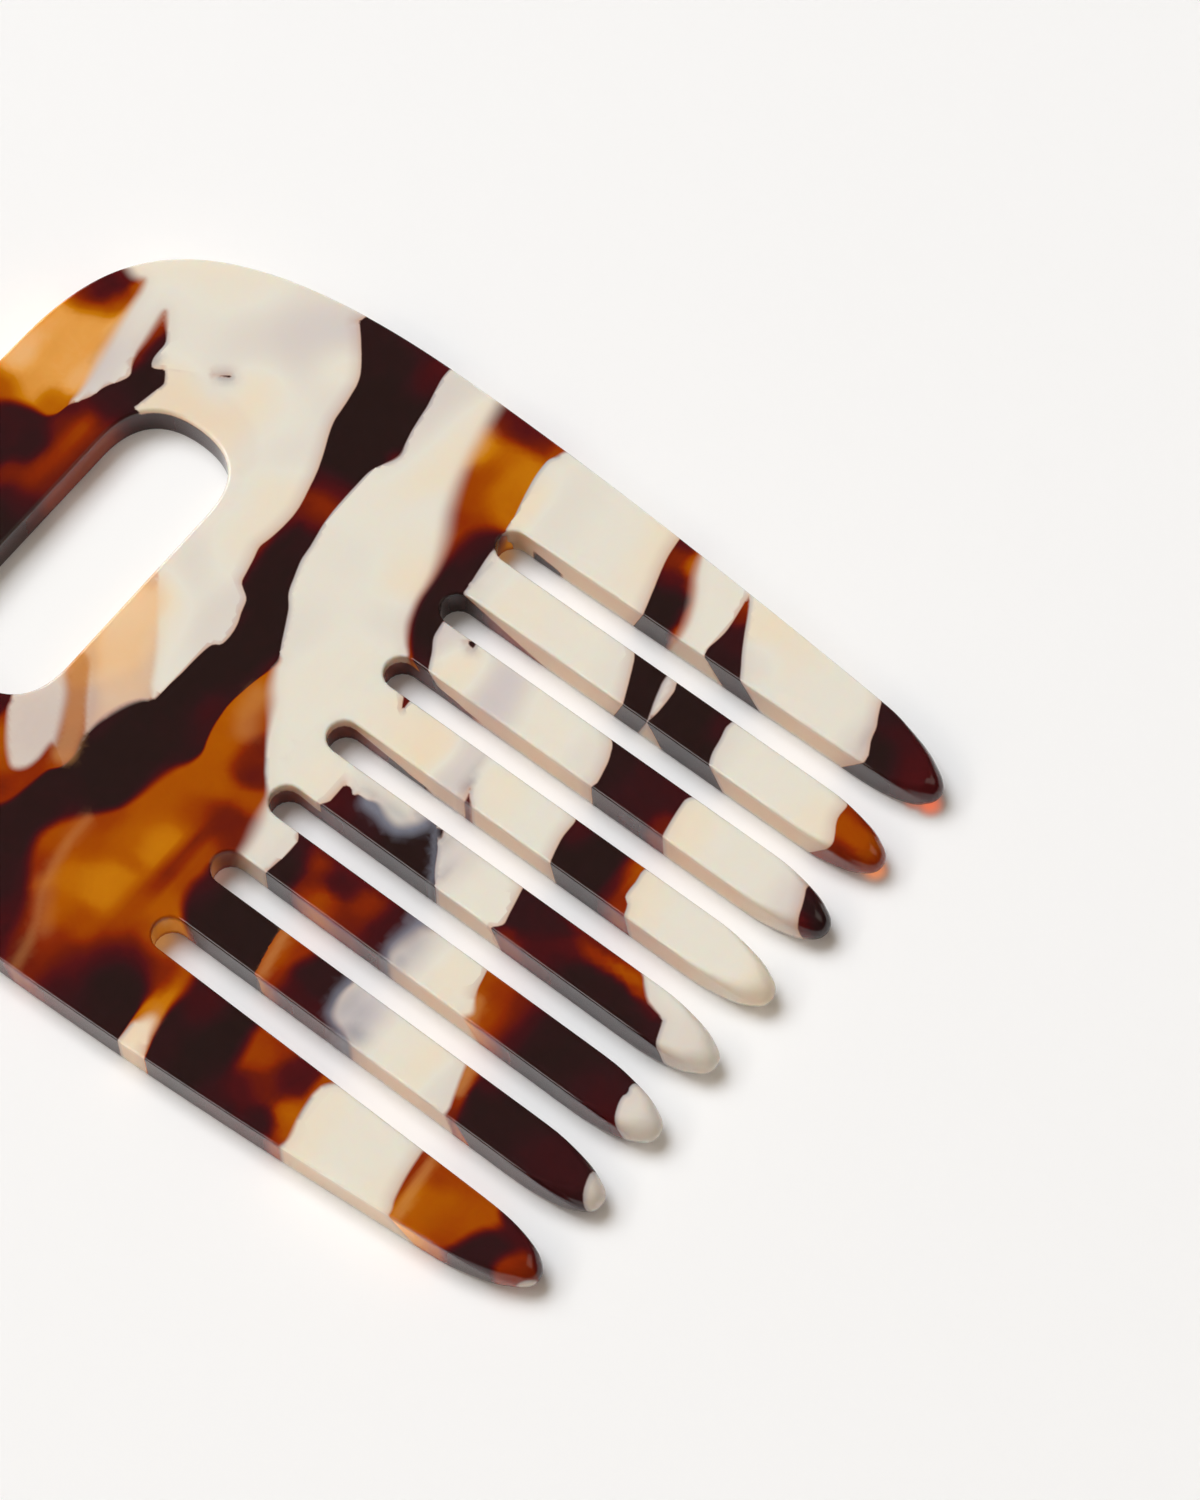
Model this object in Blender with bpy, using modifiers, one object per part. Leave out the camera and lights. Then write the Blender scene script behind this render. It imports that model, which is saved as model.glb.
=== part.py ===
"""Wide-tooth comb cut from one sheet of cellulose acetate, with a hand hole behind its teeth.

The comb lies flat with its underside at z = 0. Its teeth point along +Y and its back is at -Y.
Half of the plate is drawn as a flat outline, given its thickness and rounded along its edges.
The teeth are then carried on to their tips as lofts, and a mirror makes the other half.
Lengths are in metres.
"""

import math

import bmesh
import bpy
from mathutils import Vector
from mathutils.geometry import interpolate_bezier

# Sheet
SHEET_THICKNESS = 0.0049
EDGE_RADIUS = 0.00033

# Teeth and the slots between them
TEETH_EACH_SIDE = 4
TOOTH_PITCH = 0.01025
SLOT_WIDTH = 0.00415
SLOT_LENGTH = 0.0591
OUTER_SLOT_FLARE = 0.00075
OUTER_TOOTH_WIDTH = 0.0077

# Tooth tips
TIP_LENGTH = 0.0116
TIP_FULLNESS_SHARE = 0.61
TIP_PLACE_SHARE = 0.5
OUTER_TIP_PLACE_SHARE = 0.42
OUTER_TIP_SIDE_SHARE = 0.12
OUTER_TIP_END_SHARE = 0.74
TIP_SIDE_LEAN = 0.09
ROUNDING_LENGTH = 0.0082
ROUNDING_POWER = 1.35
NOSE_LENGTH = 0.0050

# Back and shoulders
BACK_BAND = 0.0160
MIDDLE_BAND = 0.0285
FLAT_BACK_WIDTH = 0.0262
SIDE_BAND = 0.0119
SHOULDER_LENGTH = 0.0432
SHOULDER_BACK_SHARE = 0.475
SHOULDER_SIDE_SHARE = 0.985
SIDE_START_SHARE = 0.31
SIDE_END_SHARE = 0.30

# Hand hole
HOLE_WIDTH = 0.0162
HOLE_LENGTH = 0.0410
HOLE_END_LENGTH = 0.0082
HOLE_END_SHARE = 0.67
HOLE_EDGE_RADIUS = 0.00045

# How finely the round shapes are stepped
SHOULDER_STEPS = 24
SIDE_STEPS = 12
ROOT_STEPS = 6
HOLE_STEPS = 10
EDGE_STEPS = 3
TIP_STEPS = 12
WELD_DISTANCE = 0.000001
MATCH_DISTANCE = 0.00001
SMOOTH_ANGLE = math.radians(32)

# Finish: polished ivory and tortoiseshell acetate
IVORY = (0.79, 0.74, 0.61, 1.0)
POLISHED_ROUGHNESS = 0.12
ACETATE_IOR = 1.48

# Shares that make a curve's handles, or a bevel, follow a circle
QUARTER_CIRCLE_SHARE = 4 * (math.sqrt(2) - 1) / 3
ROUND_PROFILE = 0.5

# Places along the comb
COMB_LENGTH = BACK_BAND + HOLE_WIDTH + MIDDLE_BAND + SLOT_LENGTH
BACK_Y = -COMB_LENGTH / 2
TIP_Y = COMB_LENGTH / 2
HOLE_BACK_Y = BACK_Y + BACK_BAND
HOLE_FRONT_Y = HOLE_BACK_Y + HOLE_WIDTH
HOLE_MIDDLE_Y = (HOLE_BACK_Y + HOLE_FRONT_Y) / 2
ROOT_Y = HOLE_FRONT_Y + MIDDLE_BAND
TAPER_Y = TIP_Y - TIP_LENGTH
WIDEST_Y = BACK_Y + SHOULDER_LENGTH

# Places across the comb
OUTER_SLOT_X = (TEETH_EACH_SIDE - 1) * TOOTH_PITCH
HALF_WIDTH = OUTER_SLOT_X + SLOT_WIDTH / 2 + SIDE_BAND
ROOT_CENTRE_Y = ROOT_Y + SLOT_WIDTH / 2
FLARE_SLOPE = OUTER_SLOT_FLARE / (TIP_Y - ROOT_CENTRE_Y)
OUTER_TOOTH_INNER_X = OUTER_SLOT_X + SLOT_WIDTH / 2 + FLARE_SLOPE * (TAPER_Y - ROOT_CENTRE_Y)
OUTER_TOOTH_OUTER_X = OUTER_TOOTH_INNER_X + OUTER_TOOTH_WIDTH


def clear_scene():
    """Remove every object, so that the part starts from an empty scene."""
    for obj in list(bpy.data.objects):
        bpy.data.objects.remove(obj, do_unlink=True)


def make_collection(name):
    """Return a new collection that is linked to the scene."""
    collection = bpy.data.collections.new(name)
    bpy.context.scene.collection.children.link(collection)
    return collection


def make_material():
    """Return the polished acetate, in the ivory that covers most of the comb."""
    material = bpy.data.materials.new("polished_acetate")
    material.use_nodes = True
    shader = material.node_tree.nodes["Principled BSDF"]
    shader.inputs["Base Color"].default_value = IVORY
    shader.inputs["Metallic"].default_value = 0
    shader.inputs["Roughness"].default_value = POLISHED_ROUGHNESS
    shader.inputs["IOR"].default_value = ACETATE_IOR
    material.diffuse_color = IVORY
    return material


class HalfOutline:
    """The half outline's points, added stretch by stretch."""

    def __init__(self, x, y):
        self.points = [Vector((x, y))]

    def line_to(self, x, y):
        """Go straight to a corner."""
        self.points.append(Vector((x, y)))

    def curve_to(self, x, y, leaving, arriving, steps):
        """Go to a corner along a curve, with a handle that leaves the last corner and one that arrives."""
        handles = Vector(leaving), Vector(arriving)
        stretch = interpolate_bezier(self.points[-1], *handles, Vector((x, y)), steps + 1)
        self.points.extend(place.to_2d() for place in stretch[1:])

    def quarter_to(self, x, y, share, steps, x_first):
        """Go to a corner along a quarter round that sets off along X, or else along Y."""
        start = self.points[-1]
        end = Vector((x, y))
        corner = Vector((x, start.y)) if x_first else Vector((start.x, y))
        self.curve_to(x, y, start.lerp(corner, share), end.lerp(corner, share), steps)

    def as_object(self, collection):
        """Return a closed 2D curve with the sheet's thickness, centred on z = 0."""
        curve = bpy.data.curves.new("half_outline", "CURVE")
        curve.dimensions = "2D"
        curve.fill_mode = "BOTH"
        curve.extrude = SHEET_THICKNESS / 2
        spline = curve.splines.new("POLY")
        spline.points.add(len(self.points) - 1)
        spline.use_cyclic_u = True
        for place, corner in zip(spline.points, self.points):
            place.co = (corner.x, corner.y, 0, 1)
        obj = bpy.data.objects.new("half_outline", curve)
        collection.objects.link(obj)
        return obj


def draw_half_outline():
    """Return the outline of the +X half, with its teeth cut square where their tips begin."""
    outline = HalfOutline(0, BACK_Y)
    flat_x = FLAT_BACK_WIDTH / 2
    outline.line_to(flat_x, BACK_Y)
    shoulder_width = HALF_WIDTH - flat_x
    outline.curve_to(
        HALF_WIDTH,
        WIDEST_Y,
        (flat_x + SHOULDER_BACK_SHARE * shoulder_width, BACK_Y),
        (HALF_WIDTH, WIDEST_Y - SHOULDER_SIDE_SHARE * SHOULDER_LENGTH),
        SHOULDER_STEPS,
    )
    side_length = TAPER_Y - WIDEST_Y
    end_handle = SIDE_END_SHARE * side_length
    outline.curve_to(
        OUTER_TOOTH_OUTER_X,
        TAPER_Y,
        (HALF_WIDTH, WIDEST_Y + SIDE_START_SHARE * side_length),
        (OUTER_TOOTH_OUTER_X + TIP_SIDE_LEAN * end_handle, TAPER_Y - end_handle),
        SIDE_STEPS,
    )
    outline.line_to(OUTER_TOOTH_INNER_X, TAPER_Y)
    for slot in reversed(range(TEETH_EACH_SIDE)):
        add_slot(outline, slot)
    add_half_hole(outline)
    return outline


def add_slot(outline, slot):
    """Add one slot, from its outer side round its root. The slot on the middle line is half a slot."""
    centre_x = slot * TOOTH_PITCH
    half = SLOT_WIDTH / 2
    outline.line_to(centre_x + half, ROOT_CENTRE_Y)
    outline.quarter_to(centre_x, ROOT_Y, QUARTER_CIRCLE_SHARE, ROOT_STEPS, x_first=False)
    if slot > 0:
        outline.quarter_to(
            centre_x - half, ROOT_CENTRE_Y, QUARTER_CIRCLE_SHARE, ROOT_STEPS, x_first=True
        )
        outline.line_to(centre_x - half, TAPER_Y)
        outline.line_to(centre_x - TOOTH_PITCH + half, TAPER_Y)


def add_half_hole(outline):
    """Add half of the hand hole, from its front side round its full, slightly square end."""
    end_x = HOLE_LENGTH / 2
    straight_x = end_x - HOLE_END_LENGTH
    outline.line_to(0, HOLE_FRONT_Y)
    outline.line_to(straight_x, HOLE_FRONT_Y)
    outline.quarter_to(end_x, HOLE_MIDDLE_Y, HOLE_END_SHARE, HOLE_STEPS, x_first=True)
    outline.quarter_to(straight_x, HOLE_BACK_Y, HOLE_END_SHARE, HOLE_STEPS, x_first=False)
    outline.line_to(0, HOLE_BACK_Y)


def curve_to_bmesh(obj):
    """Return a curve object's solid as a welded bmesh, and remove the curve."""
    graph = bpy.context.evaluated_depsgraph_get()
    mesh = bpy.data.meshes.new_from_object(obj.evaluated_get(graph))
    mesh.transform(obj.matrix_world)
    curve = obj.data
    bpy.data.objects.remove(obj)
    bpy.data.curves.remove(curve)
    solid = bmesh.new()
    solid.from_mesh(mesh)
    bpy.data.meshes.remove(mesh)
    bmesh.ops.remove_doubles(solid, verts=solid.verts, dist=WELD_DISTANCE)
    return solid


def lies_on(element, axis, place):
    """Tell whether every corner of an edge or a face has this coordinate."""
    return all(abs(corner.co[axis] - place) < MATCH_DISTANCE for corner in element.verts)


def round_rim(solid, edges, radius):
    """Round these edges of the plate's rim."""
    bmesh.ops.bevel(
        solid,
        geom=edges,
        offset=radius,
        offset_type="OFFSET",
        segments=EDGE_STEPS,
        profile=ROUND_PROFILE,
        affect="EDGES",
    )


def round_edges(solid):
    """Make each flat side one face, then round its rim, but not at the middle or at the teeth's cuts."""
    half = SHEET_THICKNESS / 2
    for level in (-half, half):
        flat = [face for face in solid.faces if lies_on(face, 2, level)]
        bmesh.ops.dissolve_faces(solid, faces=flat)
    hole_rim = []
    other_rim = []
    for edge in solid.edges:
        on_rim = lies_on(edge, 2, half) or lies_on(edge, 2, -half)
        if not on_rim or lies_on(edge, 0, 0) or lies_on(edge, 1, TAPER_Y):
            continue
        middle = (edge.verts[0].co + edge.verts[1].co) / 2
        across_hole = middle.x < HOLE_LENGTH / 2 + MATCH_DISTANCE
        along_hole = abs(middle.y - HOLE_MIDDLE_Y) < HOLE_WIDTH / 2 + MATCH_DISTANCE
        chosen = hole_rim if across_hole and along_hole else other_rim
        chosen.append(edge)
    round_rim(solid, hole_rim, HOLE_EDGE_RADIUS)
    round_rim(solid, other_rim, EDGE_RADIUS)


def open_cuts(solid):
    """Delete the flat faces at the middle plane and at the teeth's cuts."""
    cuts = [face for face in solid.faces if lies_on(face, 0, 0) or lies_on(face, 1, TAPER_Y)]
    bmesh.ops.delete(solid, geom=cuts, context="FACES_ONLY")


def section_points(left, right, half_height, radius):
    """Return a rounded rectangle's points across a tooth, from two places at its sides."""
    radius = min(radius, half_height, (right.x - left.x) / 2)
    points = []
    for quarter in range(4):
        side, other = (right, left) if quarter in (0, 3) else (left, right)
        inward = (other - side).normalized()
        sign = 1 if quarter < 2 else -1
        for step in range(EDGE_STEPS + 1):
            turn = step / EDGE_STEPS
            angle = (turn if quarter % 2 == 0 else 1 - turn) * math.pi / 2
            place = side + inward * radius * (1 - math.cos(angle))
            height = sign * (half_height - radius * (1 - math.sin(angle)))
            points.append(Vector((place.x, place.y, height)))
    return points


def tip_sections(left_side, right_side):
    """Return a tooth tip's sections, from its square cut to just short of its end."""
    sections = []
    half = SHEET_THICKNESS / 2
    for left, right in list(zip(left_side, right_side))[:-1]:
        to_tip = TIP_Y - (left.y + right.y) / 2
        growth = max(0, 1 - to_tip / ROUNDING_LENGTH) ** ROUNDING_POWER
        radius = EDGE_RADIUS + (half - EDGE_RADIUS) * growth
        nose = max(0, 1 - to_tip / NOSE_LENGTH)
        half_height = half * math.sqrt(1 - nose**2)
        sections.append(section_points(left, right, half_height, radius))
    return sections


def side_curve(side_x, tip_x, lean, side_share, end_share):
    """Return the points of one side of a tooth tip, from its square cut to its end."""
    reach = side_share * TIP_LENGTH
    leaving = Vector((side_x + lean * reach, TAPER_Y + reach))
    arriving = Vector((tip_x + end_share * (side_x - tip_x), TIP_Y))
    start = Vector((side_x, TAPER_Y))
    end = Vector((tip_x, TIP_Y))
    return interpolate_bezier(start, leaving, arriving, end, TIP_STEPS + 1)


def add_tip(solid, left_side, right_side):
    """Loft one tooth from the ring at its square cut to its rounded tip."""
    sections = tip_sections(left_side, right_side)
    cut = [corner for corner in solid.verts if abs(corner.co.y - TAPER_Y) < MATCH_DISTANCE]
    ring = [min(cut, key=lambda corner: (corner.co - point).length) for point in sections[0]]
    for section in sections[1:]:
        next_ring = [solid.verts.new(point) for point in section]
        for index in range(len(ring)):
            after = (index + 1) % len(ring)
            solid.faces.new((ring[index], ring[after], next_ring[after], next_ring[index]))
        ring = next_ring
    end = solid.verts.new((left_side[-1].x, TIP_Y, 0))
    for index in range(len(ring)):
        solid.faces.new((ring[index], ring[(index + 1) % len(ring)], end))


def add_tips(solid):
    """Add the tips of the +X half's teeth, the inner ones alike and the outer one broader."""
    half_slot = SLOT_WIDTH / 2
    full = TIP_FULLNESS_SHARE
    for tooth in range(TEETH_EACH_SIDE - 1):
        left_x = tooth * TOOTH_PITCH + half_slot
        right_x = (tooth + 1) * TOOTH_PITCH - half_slot
        tip_x = left_x + TIP_PLACE_SHARE * (right_x - left_x)
        left_side = side_curve(left_x, tip_x, 0, full, full)
        right_side = side_curve(right_x, tip_x, 0, full, full)
        add_tip(solid, left_side, right_side)
    tip_x = OUTER_TOOTH_INNER_X + OUTER_TIP_PLACE_SHARE * OUTER_TOOTH_WIDTH
    left_side = side_curve(OUTER_TOOTH_INNER_X, tip_x, FLARE_SLOPE, full, full)
    right_side = side_curve(
        OUTER_TOOTH_OUTER_X, tip_x, -TIP_SIDE_LEAN, OUTER_TIP_SIDE_SHARE, OUTER_TIP_END_SHARE
    )
    add_tip(solid, left_side, right_side)


def build_comb():
    """Build the comb as one object in its own collection."""
    collection = make_collection("wide_tooth_comb")
    solid = curve_to_bmesh(draw_half_outline().as_object(collection))
    round_edges(solid)
    open_cuts(solid)
    add_tips(solid)
    bmesh.ops.recalc_face_normals(solid, faces=solid.faces)
    mesh = bpy.data.meshes.new("comb_body")
    solid.to_mesh(mesh)
    solid.free()
    mesh.materials.append(make_material())
    mesh.shade_smooth()
    mesh.set_sharp_from_angle(angle=SMOOTH_ANGLE)
    comb = bpy.data.objects.new("comb_body", mesh)
    comb.location.z = SHEET_THICKNESS / 2
    collection.objects.link(comb)
    mirror = comb.modifiers.new("other_half", "MIRROR")
    mirror.merge_threshold = MATCH_DISTANCE
    mirror.use_clip = True


clear_scene()
build_comb()
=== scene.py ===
"""Wide-tooth comb of polished tortoiseshell and ivory acetate, lying on a pale table.

The comb is cut from one sheet, so one piece stands for it. Its outline, slots and hand hole follow
the same curves as the solid, more finely stepped. The sheet's pattern is drawn as patches
of dark and amber acetate in ivory, in tooth pitches, and kept in the mesh's attributes.
"""

import logging
import math
from dataclasses import dataclass, field
from enum import Enum
from functools import partial

import bmesh
import bpy
import numpy as np
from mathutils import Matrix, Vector
from mathutils.geometry import delaunay_2d_cdt
from mathutils.kdtree import KDTree


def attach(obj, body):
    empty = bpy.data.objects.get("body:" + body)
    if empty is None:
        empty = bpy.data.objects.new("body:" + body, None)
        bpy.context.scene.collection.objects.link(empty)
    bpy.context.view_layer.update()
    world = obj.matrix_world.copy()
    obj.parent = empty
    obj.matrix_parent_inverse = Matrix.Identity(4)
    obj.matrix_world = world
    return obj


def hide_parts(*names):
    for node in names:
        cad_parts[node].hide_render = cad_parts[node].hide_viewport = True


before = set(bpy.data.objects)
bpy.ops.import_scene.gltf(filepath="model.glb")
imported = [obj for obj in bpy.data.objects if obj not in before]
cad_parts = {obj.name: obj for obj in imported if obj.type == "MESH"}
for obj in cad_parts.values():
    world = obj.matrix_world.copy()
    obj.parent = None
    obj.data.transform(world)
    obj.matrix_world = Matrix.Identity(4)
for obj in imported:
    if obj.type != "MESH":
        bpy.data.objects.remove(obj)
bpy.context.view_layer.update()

MM = 0.001
MATHS, MIX, NOISE, REMAP = "ShaderNodeMath", "ShaderNodeMix", "ShaderNodeTexNoise", "ShaderNodeMapRange"
Node, Socket, Tree = bpy.types.Node, bpy.types.NodeSocket, bpy.types.NodeTree
log = logging.getLogger("comb")


def linear(hex_colour: str) -> tuple:
    """Return an sRGB hex colour as linear red, green, blue and alpha.

    Args:
        hex_colour: The colour, such as "#E6DFCC".

    Returns:
        The four linear values.
    """
    parts = [int(hex_colour[place : place + 2], 16) / 255 for place in (1, 3, 5)]
    values = [part / 12.92 if part <= 0.04045 else ((part + 0.055) / 1.055) ** 2.4 for part in parts]
    return (*values, 1.0)


def cubic(
    turn: np.ndarray, start: np.ndarray, leaving: np.ndarray, arriving: np.ndarray, end: np.ndarray
) -> np.ndarray:
    """Return places on a cubic curve.

    Args:
        turn: How far along the curve each place is, from 0 to 1, as a column.
        start: Where the curve starts.
        leaving: The handle that leaves the start.
        arriving: The handle that arrives at the end.
        end: Where the curve ends.

    Returns:
        The places, one row each.
    """
    rest = 1 - turn
    return rest**3 * start + 3 * rest**2 * turn * leaving + 3 * rest * turn**2 * arriving + turn**3 * end


def add_node(tree: Tree, kind: str, **given: object) -> Node:
    """Add a node to a tree, with its settings and links.

    Args:
        tree: The tree.
        kind: The node's type.
        given: First the node's own settings. Then for each input a value, a socket or a node, which
            stands for its first output. Inputs are named with _ for a space, or by i and a number.

    Returns:
        The node.
    """
    node = tree.nodes.new(kind)
    for name, value in given.items():
        if hasattr(node, name):
            setattr(node, name, value)
            continue
        key = int(name[1:]) if name[0] == "i" and name[1:].isdigit() else name.replace("_", " ")
        if isinstance(value, Node):
            value = next(output for output in value.outputs if output.enabled)
        if isinstance(value, Socket):
            tree.links.new(value, node.inputs[key])
        else:
            node.inputs[key].default_value = value
    return node


# The softness of an edge that names none, and the furthest distance that is told, in tooth pitches
CRISP = 0.010
FAR = 0.6
# Where the pattern's origin lies along the teeth
ORIGIN_Y = 1.14 * MM


class Kind(Enum):
    """What a patch of the sheet is made of."""

    DARK = "dark"
    AMBER = "amber"
    CREAM = "cream"


@dataclass(frozen=True)
class Patch:
    """One patch of the pattern, in tooth pitches.

    Args:
        kind: What it is made of.
        points: Its outline's points as (along, across[, softness]).
        lean: How far it moves along and across on its way down through the sheet.
        strength: How much of it shows.
        below: The depth at which it begins, as a share of the thickness.
        sinks: How much deeper it begins for each pitch along the teeth.
    """

    kind: Kind
    points: tuple
    lean: tuple = (0.0, 0.0)
    strength: float = 1.0
    below: float = 0.0
    sinks: float = 0.0


@dataclass(frozen=True)
class Spot:
    """A place where the colour leans towards a tone, its place and its reach in tooth pitches."""

    along: float
    across: float
    reach_along: float
    reach_across: float
    tone: float


def spots(rows: tuple) -> tuple:
    """Read rows of hundredths, of a tooth pitch and of the tone, as spots."""
    return tuple(Spot(*(value / 100 for value in row)) for row in rows)


D, A, C = Kind.DARK, Kind.AMBER, Kind.CREAM

# The side of the flow that the amber and the dark share
FLOW_EDGE = (
    (0.38, -1.21), (0.33, -1.31), (0.27, -1.42), (0.18, -1.56), (0.15, -1.7), (0.13, -1.85), (0.1, -2.1),
    (0.09, -2.24), (0.07, -2.4), (0.035, -2.62), (0.015, -2.8),
)
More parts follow.
